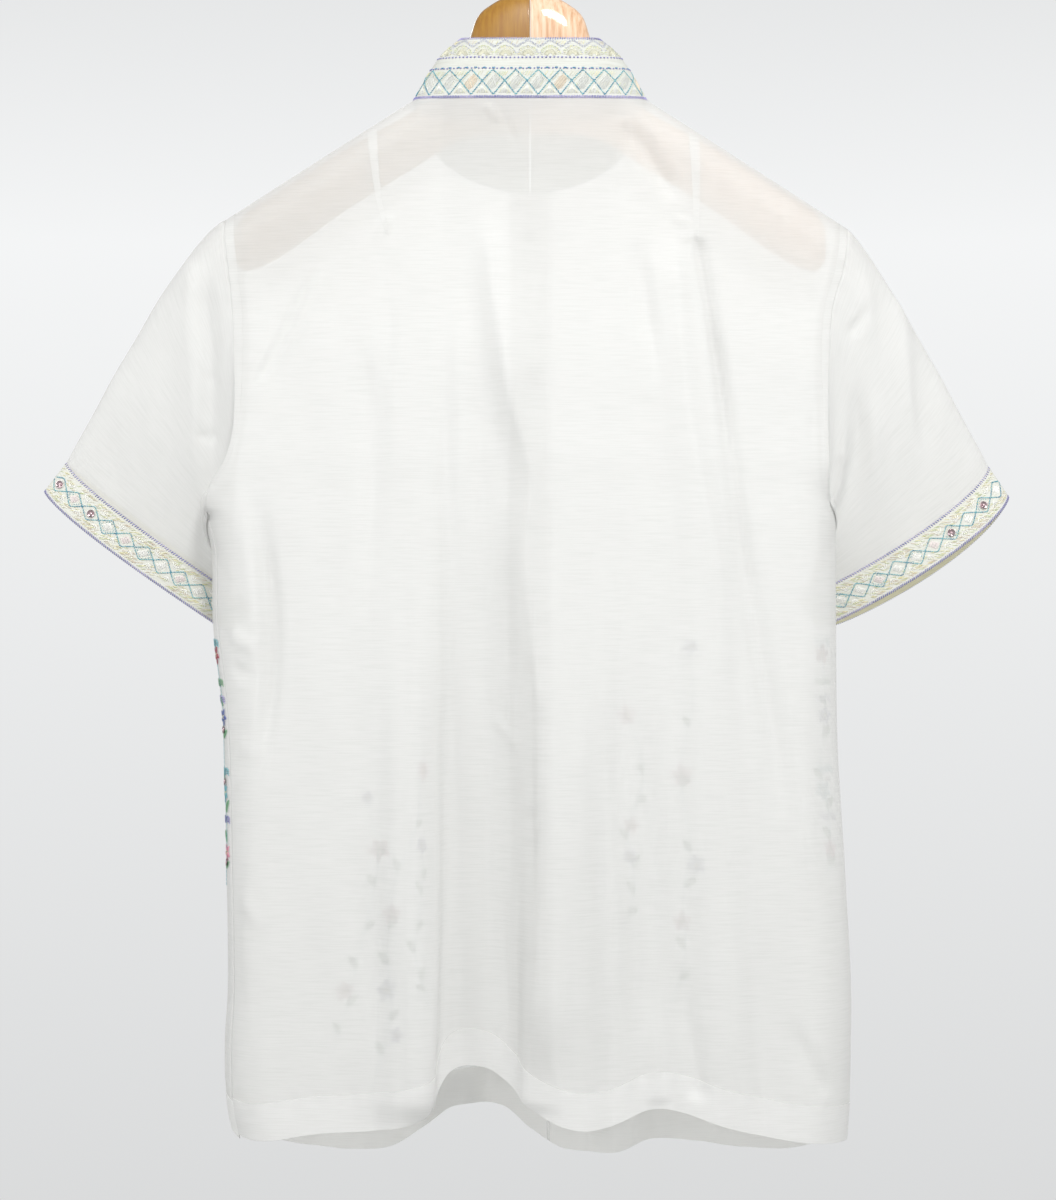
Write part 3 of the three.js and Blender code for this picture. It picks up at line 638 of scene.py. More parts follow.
FRONT_CREASES = [
    crease([(60, -330), (56, -440), (62, -560), (56, -700), (54, -850)], -4.0, 18, 24, 0.4, 0.05),
    crease([(96, -300), (90, -420), (94, -560), (88, -720), (84, -862)], 3.6, 26, 18, 0.4, 0.05),
    crease([(30, -380), (32, -520), (28, -660), (30, -850)], 3.2, 12, 22, 0.5, 0.05),
    crease([(142, -250), (150, -360), (146, -500), (152, -660)], -2.6, 28, 26, 0.4, 0.4),
    crease([(152, -225), (165, -270), (186, -330)], 1.6, 9, 9, 0.3, 0.5),
    crease([(120, -190), (128, -240), (130, -300)], -1.8, 14, 10, 0.3, 0.6),
    crease([(176, -420), (170, -500), (178, -600), (174, -720)], 2.4, 14, 22, 0.3, 0.5),
    crease([(205, -520), (188, -530), (168, -526)], 1.6, 8, 8, 0.3, 0.6),
    crease([(-62, -320), (-70, -430), (-64, -560), (-68, -700), (-64, -868)], -3.8, 24, 18, 0.4, 0.05),
    crease([(-96, -290), (-92, -420), (-100, -560), (-92, -700), (-100, -866)], 3.4, 18, 26, 0.4, 0.05),
    crease([(-32, -400), (-34, -540), (-30, -700), (-34, -860)], 3.0, 20, 11, 0.5, 0.05),
    crease([(-146, -260), (-152, -380), (-148, -520), (-156, -680)], -2.8, 26, 26, 0.4, 0.4),
    crease([(-156, -225), (-170, -275), (-188, -335)], 1.7, 9, 9, 0.3, 0.5),
    crease([(-124, -195), (-130, -250), (-134, -310)], -1.8, 10, 14, 0.3, 0.6),
    crease([(-182, -430), (-178, -520), (-186, -640)], 2.2, 20, 14, 0.3, 0.5),
    crease([(-120, -790), (-130, -830), (-134, -872)], 2.8, 12, 14, 0.5, 0.05),
]


def curve_through(path, pieces=6):
    """A smooth curve through a path's points, as more points."""
    if len(path) == 2:
        return lerp(path[0], path[1], np.linspace(0, 1, pieces)[:, None])
    rows = {"t": np.arange(len(path), dtype=float), "x": path[:, 0], "z": path[:, 1]}
    t = np.linspace(0, len(path) - 1, (len(path) - 1) * pieces + 1)
    return np.stack([along(rows, "t", "x", t), along(rows, "t", "z", t)], -1)


def crease_height(x, z, creases):
    """How far out the creases move each point of a panel."""
    total = np.zeros_like(x)
    for item in creases:
        path = curve_through(item["path"])
        reach = max(item["left"], item["right"])
        near = ((x > path[:, 0].min() - reach) & (x < path[:, 0].max() + reach)
                & (z > path[:, 1].min() - reach) & (z < path[:, 1].max() + reach))
        if not near.any():
            continue
        px, pz = x[near], z[near]
        steps = np.linalg.norm(np.diff(path, axis=0), axis=1)
        gone = np.concatenate([[0], np.cumsum(steps)]) / steps.sum()
        best, side, share = np.full(px.shape, 1e9), np.zeros(px.shape), np.zeros(px.shape)
        for a, b, start, end in zip(path, path[1:], gone, gone[1:]):
            d = b - a
            t = np.clip(((px - a[0]) * d[0] + (pz - a[1]) * d[1]) / (d @ d), 0, 1)
            ex, ez = px - a[0] - t * d[0], pz - a[1] - t * d[1]
            distance = np.hypot(ex, ez)
            closer = distance < best
            best = np.where(closer, distance, best)
            side = np.where(closer, d[0] * ez - d[1] * ex, side)
            share = np.where(closer, lerp(start, end, t), share)
        spread = np.where(side > 0, item["left"], item["right"])
        off = np.clip((np.hypot(best, CREST) - CREST) / spread, 0, 1)
        fade = smooth(share / item["start"]) * smooth((1 - share) / item["end"])
        total[near] += item["height"] * (1 - off) ** 2 * (1 + FULLNESS * off) * fade
    return total


WAVE_SEED, WAVE_COUNT = 17, 9
rng = np.random.default_rng(WAVE_SEED)
WAVES = [dict(across=rng.uniform(0.05, 0.17), down=rng.uniform(-0.035, 0.035),
              phase=rng.uniform(0, 6.28), size=rng.uniform(0.10, 0.24))
         for _ in range(WAVE_COUNT)]
WAVE_SWING, SWING_LENGTH = 0.8, 61       # the waves run down the cloth in slow curves
WAVE_GROWTH, GROWTH_LENGTH = (0.5, 1.2), 500     # and grow from the neck downwards


def unevenness(x, z):
    """The slight waviness that any hanging cloth has."""
    total = np.zeros_like(x)
    for wave in WAVES:
        total += wave["size"] * np.sin(wave["across"] * x + wave["down"] * z + wave["phase"]
                                       + WAVE_SWING * np.sin(z / SWING_LENGTH + wave["phase"]))
    return total * lerp(*WAVE_GROWTH, smooth((NECK_Z - z) / GROWTH_LENGTH))


def pucker(fast, swing, slow):
    """Uneven small gathers: waves whose spacing swings with a slower wave."""
    return np.sin(fast + swing * np.sin(slow))


# ------------------------------------------------------------ panels
SEAM_PUCKER, HEM_PUCKER = 0.45, 0.25     # how far the stitching draws the cloth in and out
SEAM_FADE, HEM_FADE = 4.5, 5             # how fast that dies away from the stitching
PUCKER_MIDDLE, PUCKER_LENGTH = -260, 400     # heights over which a side seam's gathers fade
CREASE_ONSET, TOP_STILL = 1.6, 9         # creases start clear of the side seams and top edge
ROW_CROWDING = 0.55                      # how far the rows crowd towards the shoulder
HEM_ROWS, LOWER_ROWS, SHOULDER_ROWS = 11, 112, 88    # the lower ones take in the hem's
BACK_COLUMNS, FRONT_COLUMNS = 186, {"front_left": 104, "front_right": 92}
SEAM_ROW = LOWER_ROWS + 6                # where the armholes' seam allowances begin
SEAM_COLUMNS = {1: 6, -1: 5}             # of the doubled seam allowance along each armhole
SEAM_FOOT, SEAM_WIDENING = 0.35, 40      # its width at its foot, and the rows it widens over


def creased_panel(face, shares, z, ends):
    """Points of a panel with all its folds, creases and seam puckers."""
    shares = np.broadcast_to(shares, z.shape)
    grid = panel_point(face, shares, z, ends)
    x = grid[..., 0]
    creases = BACK_CREASES if face > 0 else FRONT_CREASES
    inward = np.minimum(shares, 1 - shares) / EDGE_ZONE
    height = (crease_height(x, z, creases) + unevenness(x, z)) * smooth(inward * CREASE_ONSET)
    seam = np.exp(-inward * SEAM_FADE)
    higher_up = smooth((PUCKER_MIDDLE - z) / -PUCKER_LENGTH + 0.5)
    height += SEAM_PUCKER * seam * pucker(z / 1.9, 2.2, z / 17) * higher_up
    height *= smooth((ends[0] - z) / TOP_STILL)
    hem_line = ends[2] + HEM_DEPTH
    by_hem = np.exp(-((z - hem_line) / HEM_FADE) ** 2)
    height += HEM_PUCKER * by_hem * pucker(x / 2.3, 1.7, x / 19)
    return grid + face * height[..., None] * normals_of(grid)


def column_heights(shares, ends):
    """Heights of a panel's rows: the hem's, those to the underarm, and the rest.

    They crowd together where the shoulder rounds over.
    """
    underarm = lerp(UNDERARMS[1], UNDERARMS[-1], shares)
    hem_line = ends[2] + HEM_DEPTH
    turned = np.linspace(0, 1, HEM_ROWS)[:-1, None]
    up = np.linspace(0, 1, LOWER_ROWS - HEM_ROWS, endpoint=False)[:, None]
    over = np.linspace(0, 1, SHOULDER_ROWS)[:, None]
    over = lerp(over, np.sin(over * np.pi / 2), ROW_CROWDING)
    return np.concatenate([lerp(ends[2], hem_line, turned), lerp(hem_line, underarm, up),
                           lerp(underarm, ends[0], over)])


def panel_grid(face, shares):
    """All the points of a panel between its first and last share."""
    ends = column_ends(face, shares)
    return creased_panel(face, shares, column_heights(shares, ends), ends)


def place(obj, slot, *nodes):
    """Puts a piece in the frame, in place of the CAD nodes named."""
    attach(obj, "root")
    if nodes:
        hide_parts(*nodes)
    return obj


FRONT_SHARES = {
    "front_left": (0, share_at(-1, UNDERLAP_X)),
    "front_right": (share_at(-1, PLACKET_RIGHT + 1), 1),
}
grids = {"back": (1, panel_grid(1, np.linspace(0, 1, BACK_COLUMNS)))}
for name, span in FRONT_SHARES.items():
    grids[name] = (-1, panel_grid(-1, np.linspace(*span, FRONT_COLUMNS[name])))
for name, (face, grid) in grids.items():
    nodes = ("back_upper", "back_lower") if name == "back" else (name,)
    place(sheet_object(f"blouse_{name}", grid, CLOTH_WALL, cloth), "cloth", *nodes)

# Hems, seam allowances and darts are cloth folded double, which hides more of what lies behind.
FOLDED_OUTSIDE, FOLDED_INSIDE = 0.06, 0.15     # how far they stand out of the panel's wall
DART_OUTSIDE, DART_INSIDE = 0.08, 0.3
EDGE_SHARE = 0.05                        # of the way from an edge to the next row or column


def edged(grid):
    """Adds a row or column close inside each edge, so that the edges stay crisp."""
    for axis in (0, 1):
        rows = np.moveaxis(grid, axis, 0)
        rows = np.concatenate([rows[:1], lerp(rows[:1], rows[1:2], EDGE_SHARE), rows[1:-1],
                               lerp(rows[-1:], rows[-2:-1], EDGE_SHARE), rows[-1:]])
        grid = np.moveaxis(rows, 0, axis)
    return grid


def folded(name, face, grid, *nodes, outside=FOLDED_OUTSIDE, inside=FOLDED_INSIDE,
           material=None):
    """A band that takes in the panel it lies on, from its own grid of points."""
    lift = face * (outside - inside) / 2
    # the fronts get the lighter copy, painted light where the back panel shades their inside
    material = material or (double_cloth if face > 0 else front_double_painted_light)
    return place(sheet_object(name, edged(grid), CLOTH_WALL + outside + inside, material, lift),
                 "cloth", *nodes)


hems = {name: folded(f"blouse_hem_{name}", face, grid[:HEM_ROWS], f"hem_{name}")
        for name, (face, grid) in grids.items()}


def narrowed(grid, width, side):
    """A strip along a panel's left (1) or right (-1) edge that narrows towards its lower end."""
    columns = np.arange(len(grid[0]))
    rows = []
    for k, row in enumerate(grid):
        share = lerp(SEAM_FOOT, 1, smooth(k / SEAM_WIDENING))
        at = np.linspace(0, width * share, width + 1)
        if side < 0:
            at = columns[-1] - at[::-1]
        rows.append(np.stack([np.interp(at, columns, row[:, c]) for c in range(3)], -1))
    return np.array(rows)


strips = {name: [] for name in grids}
for name, (face, grid) in grids.items():
    for side, front in ((1, "front_left"), (-1, "front_right")):
        if name in ("back", front):
            strips[name].append(folded(f"blouse_{name}_armhole_{len(strips[name]) + 1}", face,
                                       narrowed(grid[SEAM_ROW:], SEAM_COLUMNS[side], side),
                                       material=seam_cloth))

DART_COLUMNS, DART_OFFSET, DART_TOP_GAP = 7, 0.15, 1.2
DARTS = [   # the line of each dart on the back, and its doubled width at the top
    dict(line=[(114, -152), (111, -180), (107, -206), (101, -228)], width=7),
    dict(line=[(-118, -155), (-118.5, -190), (-118.5, -215), (-119, -232)], width=7.5),
]
for number, dart in enumerate(DARTS, 1):
    path = curve_through(np.array(dart["line"], float), 9)[::-1]
    width = dart["width"] * np.linspace(0.3, 1, len(path))
    across = np.linspace(0, 1, DART_COLUMNS) - DART_OFFSET
    x = path[:, :1] - np.sign(path[0, 0]) * width[:, None] * across
    x = -np.sort(-x, axis=1)
    shares = np.vectorize(lambda value: share_at(1, value))(x)
    ends = tuple(part.reshape(shares.shape) for part in column_ends(1, shares.reshape(-1)))
    z = np.minimum(np.broadcast_to(path[:, 1:], x.shape), ends[0] - DART_TOP_GAP)
    strips["back"].append(folded(f"blouse_back_dart_{number}", 1, creased_panel(1, shares, z, ends),
                                 outside=DART_OUTSIDE, inside=DART_INSIDE,
                                 material=seam_cloth))


# ------------------------------------------------------------ front band and buttons
PLACKET_WALL, PLACKET_COLUMNS = 0.9, 22
PLACKET_LIFT = CLOTH_WALL + 0.5          # of its middle from the panels' middle
placket_shares = [share_at(-1, x)
                  for x in np.linspace(PLACKET_LEFT, PLACKET_RIGHT, PLACKET_COLUMNS)]
placket = place(sheet_object("blouse_placket", panel_grid(-1, np.array(placket_shares)),
                             PLACKET_WALL, cloth, -PLACKET_LIFT), "cloth", "placket")

button = plain_material("button", srgb(240, 238, 228), Roughness=0.22,
                        Coat_Weight=0.6, Coat_Roughness=0.08)
thread = plain_material("white_thread", srgb(244, 244, 238), Roughness=0.6)
BUTTON = dict(count=6, radius=5.5, first=-222, pitch=104, thick=2.2, sides=40)
BUTTON_GAP = 0.35                        # between the front band and a button
DISH_FLOOR = 0.68                        # its height as a share of the button's thickness


def lathe(profile, sides):
    """Vertices and faces of a profile of (radius, height) turned about +Z, closed."""
    turn = turn_steps(sides)
    rings = [np.stack([r * np.cos(turn), r * np.sin(turn), np.full(sides, h)], -1)
             for r, h in profile]
    return np.concatenate(rings), tube_faces(len(rings), sides)


def aimed(vertices, centre, normal):
    """Vertices turned so that their +Z is along normal, and moved to centre."""
    normal = unit(normal)
    side = unit(np.cross((0, 0, 1), normal))
    return centre + vertices @ np.array([side, np.cross(normal, side), normal])


ROD_SIDES, SLANTING_WAY = 6, (0.31, 0.2, 0.9)      # the way is along none of the rods


def rods(pairs, radius):
    """Short straight rods between pairs of points, as one mesh."""
    vertices, faces = [], []
    turn = turn_steps(ROD_SIDES)[:, None]
    for number, (a, b) in enumerate(pairs):
        way = unit(b - a)
        first = unit(np.cross(way, SLANTING_WAY))
        ring = radius * (np.cos(turn) * first + np.sin(turn) * np.cross(way, first))
        vertices.append(np.concatenate([a + ring, b + ring]))
        base = number * 2 * ROD_SIDES
        faces += [tuple(base + k for k in face) for face in tube_faces(2, ROD_SIDES)]
    return np.concatenate(vertices), faces


def button_mesh():
    """A round button with a raised rim about a shallow dish."""
    r, t = BUTTON["radius"], BUTTON["thick"]
    return lathe([(r * 0.4, 0), (r * 0.86, 0.05), (r, 0.5), (r, t * 0.72), (r * 0.94, t * 0.95),
                  (r * 0.84, t), (r * 0.74, t * 0.92), (r * 0.62, t * 0.74),
                  (r * 0.3, t * DISH_FLOOR), (r * 0.06, t * DISH_FLOOR)], BUTTON["sides"])


SEAT_REACH = dict(x=2.0, z=4.0)          # how far round a button its seat's slope is taken
HOLE_REACH, STITCH_RADIUS = 1.25, 0.3
STITCH_TOP, STITCH_FOOT = BUTTON["thick"] * DISH_FLOOR + 0.25, -0.8
CROSSING = 0.2                           # the second stitch lies on the first
middle_shares = np.array([share_at(-1, x) for x in (SEAT_REACH["x"], 0.0, -SEAT_REACH["x"])])
middle_ends = column_ends(-1, middle_shares)
for number in range(BUTTON["count"]):
    level = BUTTON["first"] - BUTTON["pitch"] * number
    levels = np.array([[level - SEAT_REACH["z"]], [level], [level + SEAT_REACH["z"]]])
    z = np.repeat(levels, 3, axis=1)
    low, centre, high = creased_panel(-1, middle_shares, z, middle_ends)[:, 1]
    normal = unit(np.cross((1, 0, 0), high - low))
    seat = centre + normal * (PLACKET_LIFT + PLACKET_WALL / 2 + BUTTON_GAP)
    vertices, faces = button_mesh()
    place(new_object(f"blouse_button_{number + 1}",
                                    aimed(vertices, seat, normal) * MM, faces, button),
                         "button", f"button_{number + 1}")
    pairs = []
    for slope in (1, -1):                # the two stitches that cross on the button's face
        p, q = (np.array([end, end * slope, 0]) * HOLE_REACH for end in (-1, 1))
        top, foot = np.array([0, 0, STITCH_TOP]), np.array([0, 0, STITCH_FOOT])
        over = np.array([0, 0, STITCH_TOP + CROSSING * (slope < 0)])
        pairs += [(p + top, q + over), (p + top, p + foot), (q + top, q + foot)]
    vertices, faces = rods(pairs, STITCH_RADIUS)
    place(new_object(f"blouse_button_thread_{number + 1}",
                                    aimed(vertices, seat, normal) * MM, faces, thread),
                         "button")


# ------------------------------------------------------------ sleeves and cuffs
SLEEVE_ROOM, CUFF_ROOM = 0.8, 1.5        # kept free between them and the body
ARMHOLE_POINTS, SLEEVE_ROWS, CUFF_ROWS = 76, 80, 18
CUFF_OVERLAP = 1.5                       # of the sleeve's lower edge by the cuff
CLEARING_RISE, CLEARING_LENGTH = 34, 20      # the free space sets in above the underarm
CAP_WAY = (0.8, 0, 0.6)                  # the way the sleeve's top bulges, for the left one
ARMHOLE_ROOM = 0.05
SLEEVE_PUCKER, SLEEVE_PUCKER_REACH = 0.4, 0.035      # gathers along the armhole
SLEEVE_WAVES = dict(size=0.8, across=1.3, down=0.7, slant=0.5)
SLEEVE_CREASES = {
    (1, 1): [     # left sleeve, back
        crease([(243, -236), (241, -262), (243, -290), (240, -320), (239, -360), (237, -405),
                (236, -440)], 3.4, 24, 14, 0.1, 0.3),
        crease([(233, -250), (229, -290), (227, -340), (228, -400)], -3.2, 9, 12, 0.2, 0.4),
        crease([(235, -325), (227, -328), (220, -327)], -0.9, 6, 6, 0.4, 0.4),
        crease([(240, -366), (230, -369), (221, -366)], -1.4, 5, 5, 0.3, 0.3),
        crease([(262, -300), (272, -350), (270, -410)], 1.6, 18, 18, 0.5, 0.5),
        crease([(300, -350), (300, -390), (292, -425)], -1.3, 14, 16, 0.5, 0.4),
        crease([(232, -398), (229, -430), (229, -462)], 2.2, 5, 6, 0.3, 0.3),
    ],
    (1, -1): [    # left sleeve, front
        crease([(232, -240), (240, -300), (252, -370), (262, -430)], 2.2, 16, 16, 0.3, 0.4),
        crease([(224, -270), (232, -340), (238, -420)], -2.4, 12, 10, 0.3, 0.4),
        crease([(262, -290), (284, -350), (300, -400)], -1.4, 16, 16, 0.4, 0.5),
    ],
    (-1, 1): [    # right sleeve, back
        crease([(-259, -232), (-263, -262), (-266, -290), (-270, -330), (-275, -380),
                (-280, -425)], 3.2, 18, 12, 0.25, 0.5),
        crease([(-273, -300), (-279, -345), (-284, -390)], -2.2, 8, 16, 0.4, 0.6),
        crease([(-230, -322), (-234, -352), (-234, -375), (-230, -400), (-222, -428),
                (-214, -447)], -4.4, 9, 11, 0.35, 0.55),
        crease([(-221, -340), (-222, -375), (-219, -405), (-214, -432)], 2.6, 5, 7, 0.4, 0.3),
        crease([(-245, -330), (-247, -375), (-243, -420)], 2.4, 9, 14, 0.4, 0.5),
        crease([(-222, -300), (-233, -288), (-243, -270)], -1.6, 7, 5, 0.3, 0.5),
        crease([(-238, -245), (-240, -280), (-238, -310)], 1.5, 10, 8, 0.4, 0.5),
        crease([(-218, -378), (-223, -384), (-229, -386)], 1.2, 4, 4, 0.3, 0.4),
    ],
    (-1, -1): [   # right sleeve, front
        crease([(-240, -245), (-250, -300), (-258, -370), (-266, -430)], 2.4, 14, 18, 0.3, 0.4),
        crease([(-228, -280), (-236, -350), (-240, -420)], -2.6, 10, 12, 0.3, 0.4),
        crease([(-276, -310), (-292, -360), (-304, -405)], -1.5, 16, 16, 0.4, 0.5),
    ],
}


def armhole(side):
    """The armhole as a ring: under the arm, up the back, the tip, down the front."""
    quarter = np.arange(ARMHOLE_POINTS + 1) / ARMHOLE_POINTS * (len(ARMHOLE_HEIGHTS) - 1)
    share = np.full_like(quarter, 0.0 if side > 0 else 1.0)
    height = np.interp(quarter, np.arange(len(ARMHOLE_HEIGHTS)), ARMHOLE_HEIGHTS)
    lines = []
    for face in (1, -1):
        ends = column_ends(face, share)
        z = lerp(float(UNDERARMS[side]), ends[0], height)
        lines.append(panel_point(face, share, z, ends))
    up, down = lines
    middle = (up + down) / 2
    return np.concatenate([middle[:1], up[1:-1], middle[-1:], down[1:-1][::-1]])


def clear_of_body(points, side, room):
    """Keeps the inner end of a sleeve clear of the body's rounded side."""
    x, y, z = np.moveaxis(points, -1, 0)
    radius = section("depth", z)
    centre = section("left" if side > 0 else "right", z) - side * radius
    middle = bend(centre, z)
    dx, dy = np.maximum(0, side * (x - centre)), y - middle
    need = (radius + room) * smooth((UNDERARMS[side] + CLEARING_RISE - z) / CLEARING_LENGTH)
    have = np.maximum(np.hypot(dx, dy), 1e-6)
    grow = np.maximum(need / have, 1)
    moved = np.stack([centre + side * dx * grow, middle + dy * grow, z], -1)
    return np.where((grow > 1)[..., None], moved, points)


def crease_sleeve(grid, side, turn):
    """Creases of the back and front of a sleeve, out along its own normals."""
    normal = normals_of(grid, wraps=True)
    outside = np.sign(np.sum(normal * (grid - grid.mean(axis=1, keepdims=True))))
    height = np.zeros(grid.shape[:2])
    for face in (1, -1):
        show = smooth(face * np.sin(turn) * 3)
        height += show * crease_height(grid[..., 0], grid[..., 2], SLEEVE_CREASES[side, face])
    x, z, waves = grid[..., 0], grid[..., 2], SLEEVE_WAVES
    height += waves["size"] * unevenness(x * waves["across"],
                                         z * waves["down"] + x * waves["slant"])
    rows = np.linspace(0, 1, len(grid))[:, None]
    gathers = SLEEVE_PUCKER * pucker(turn * 34, 2, turn * 5) * np.exp(-rows / SLEEVE_PUCKER_REACH)
    height = height * smooth(rows * 9) * smooth((1 - rows) * 12) + gathers * smooth(rows * 60)
    return grid + outside * height[..., None] * normal


def sleeve_grids(side):
    """A sleeve's points from the armhole down, and its cuff's."""
    shape = SLEEVES[side]
    start = armhole(side)
    outer, inner = np.array(shape["outer"], float), np.array(shape["inner"], float)
    middle, reach = (outer + inner) / 2, (inner - outer) / 2
    up = unit(np.cross(reach, (0, -side, 0)))
    turn = turn_steps(len(start))
    c, s = np.cos(turn), np.sin(turn)
    bow = np.where(s > 0, shape["back_bow"], shape["front_bow"]) * np.abs(s)
    edge = middle + reach * c[:, None]
    edge[:, 1] += shape["half_open"] * s
    edge[:, 2] -= bow * (1 - shape["lean"] * c)
    seam = edge + up * (CUFF_WIDTH - CUFF_OVERLAP)
    down = np.linspace(0, 1, SLEEVE_ROWS)[:, None]
    sleeve = lerp(start, seam, down[..., None])
    sleeve[..., 0] = lerp(start[:, 0], seam[:, 0], lerp(down, down**2, np.maximum(0, c)))
    cap = shape["cap"] * np.sin(np.pi * down**0.6) * np.maximum(0, -c)
    sleeve += cap[..., None] * CAP_WAY * np.array([side, 1, 1])
    room = lerp(ARMHOLE_ROOM, SLEEVE_ROOM, smooth(down * 2.2))
    sleeve = clear_of_body(sleeve, side, room)
    cuff = edge + up * np.linspace(CUFF_WIDTH, 0, CUFF_ROWS)[:, None, None]
    return crease_sleeve(sleeve, side, turn), clear_of_body(cuff, side, CUFF_ROOM)


SAMPLE_STEP = 37           # one face in so many tells a cuff's inner side from its outer


def line_inside(obj, material, grid):
    """Gives the faces of a band's inner side a material of their own."""
    obj.data.materials.append(material)
    rows, columns = grid.shape[:2]
    faces = (rows - 1) * columns
    centre = grid.mean(axis=(0, 1)) * MM
    blocks = [obj.data.polygons[:faces], obj.data.polygons[faces:2 * faces]]

    def facing_inwards(block):
        return np.mean([(Vector(centre) - face.center).normalized().dot(face.normal)
                        for face in block[::SAMPLE_STEP]])

    for face in max(blocks, key=facing_inwards):
        face.material_index = 1


cuff_grids, sleeves, cuffs = {}, {}, {}
for side, word in ((1, "left"), (-1, "right")):
    sleeve_grid, cuff_grid = sleeve_grids(side)
    cuff_grids[side] = cuff_grid
    sleeves[side] = place(sheet_object(f"blouse_sleeve_{word}", sleeve_grid, CLOTH_WALL, cloth,
                                       wraps=True), "cloth", f"sleeve_{word}")
    cuffs[side] = place(sheet_object(f"blouse_cuff_{word}", cuff_grid, BAND_WALL, band,
                                     wraps=True), "band", f"cuff_{word}")
    line_inside(cuffs[side], lining, cuff_grid)


# ------------------------------------------------------------ collar
def collar_point(turn, rise):
    """A point of the collar: its angle round the neck, and the share of its height."""
    face = np.where(np.sin(turn) >= 0, 1, -1)
    across = np.abs(np.cos(turn))
    depth = np.where(face > 0, NECK_BACK_DEPTH, NECK_FRONT_DEPTH) - COLLAR_INSET / 2
    width = along(COLLAR_PROFILE, "rise", "width", rise)
    x = (NECK_HALF_WIDTH - COLLAR_INSET) * np.cos(turn)
    y = face * depth * neck_round(across) * lerp(1, COLLAR_TOP_DEPTH, rise) + bend(x, NECK_Z)
    z = neck_height(across, face) + COLLAR_LIFT + COLLAR_HEIGHT * rise
    return np.stack([x * width, y, z], -1)


COLLAR_COLUMNS, COLLAR_ROWS, COLLAR_OPENING = 301, 30, 0.4
collar_start = -np.pi / 2 + COLLAR_OPENING / NECK_HALF_WIDTH
turns, rises = np.meshgrid(np.linspace(collar_start, np.pi - collar_start, COLLAR_COLUMNS),
                           np.linspace(0, 1, COLLAR_ROWS))
collar_grid = collar_point(turns, rises)
# the collar's cloth is the darker copy of the band, painted shade
collar = place(sheet_object("blouse_collar", collar_grid, BAND_WALL, collar_band_painted_shade), "band", "collar")


# ------------------------------------------------------------ hanger
wood_ochre = wood_material("wood_ochre", srgb(162, 119, 46), srgb(154, 111, 41),
                           srgb(146, 101, 38), 0.45)
wood_pale = wood_material("wood_pale", srgb(228, 200, 176), srgb(219, 184, 152),
                          srgb(196, 152, 116), 0.25, 0.5)
wire = plain_material("wire", (0.62, 0.62, 0.61), Metallic=1.0, Roughness=0.16)

ARM_SECTIONS = table("x top bottom half", [
    (0.2, -54.1, -154, 12), (14, -55.9, -154, 12), (28, -62.7, -154.5, 12),
    (38, -72.3, -155.5, 11), (44, -90, -157, 9.5), (54, -112, -160, 8.5),
    (79, -134.5, -176, 6), (130, -163, -207, 14), (180, -194, -241, 17),
    (204, -209, -250, 16), (211, -219, -244, 9),
])
ARM_SQUARE = 0.75          # below 1 the arm's cross-section is squarer than an ellipse
ARM_SIDES, HOOK_SIDES = 44, 20


def squarish(value):
    return np.sign(value) * np.abs(value) ** ARM_SQUARE


def loft(rings):
    """A closed skin through rings of equal length, with flat ends."""
    rings = np.array(rings)
    return rings.reshape(-1, 3), tube_faces(*rings.shape[:2])


def smooth_solid(name, vertices, faces, material):
    obj = new_object(name, vertices * MM, faces, material)
    face_out(obj)
    return obj


def hanger_arm(sign):
    """One half of the hanger: its neck and the arm that widens to the tip."""
    at = np.concatenate([np.linspace(0.2, 60, 56), np.linspace(62, 203, 60),
                         np.linspace(204, 210.8, 10)])
    turn = turn_steps(ARM_SIDES)
    rings = []
    for x in at:
        top, bottom, half = (float(along(ARM_SECTIONS, "x", key, x))
                             for key in ("top", "bottom", "half"))
        y = bend(x, top) + half * squarish(np.cos(turn))
        z = lerp(bottom, top, 0.5 + 0.5 * squarish(np.sin(turn)))
        rings.append(np.stack([np.full_like(turn, sign * x), y, z], -1))
    return loft(rings)


for sign, word, material in ((1, "left", wood_ochre), (-1, "right", wood_pale)):
    place(smooth_solid(f"hanger_{word}_wood", *hanger_arm(sign), material), "wood",
          f"hanger_{word}")

HOOK_RADIUS, WIRE_RADIUS = 24, 2
HOOK_FOOT_Z = -53.5
HOOK_FOOT = [(4.5, 10.5), (0.6, 5), (0, 0)]      # x, and height above the foot
HOOK_TIP_ROUNDING = {0: 0.55, 1: 0.9}            # of the wire's radius, at its first rings


def hook():
    """The wire hook, from its rounded tip to its foot in the wood."""
    centre = WIRE_RADIUS - HOOK_RADIUS
    turn = np.radians(np.arange(205, -51, -15))
    points = [(HOOK_RADIUS * np.cos(t), centre + HOOK_RADIUS * np.sin(t)) for t in turn]
    points += [(x, HOOK_FOOT_Z + up) for x, up in HOOK_FOOT]
    path = curve_through(np.array(points), 9)
    way = unit(np.gradient(path, axis=0))
    sides = turn_steps(HOOK_SIDES)
    rings = []
    for k, ((x, z), (dx, dz)) in enumerate(zip(path, way)):
        radius = WIRE_RADIUS * HOOK_TIP_ROUNDING.get(k, 1)
        out, up = np.cos(sides) * radius, np.sin(sides) * radius
        rings.append(np.stack([x + out * dz, up, z - out * dx], -1))
    return loft(rings)


place(smooth_solid("hanger_hook_wire", *hook(), wire), "wire", "hanger_hook")


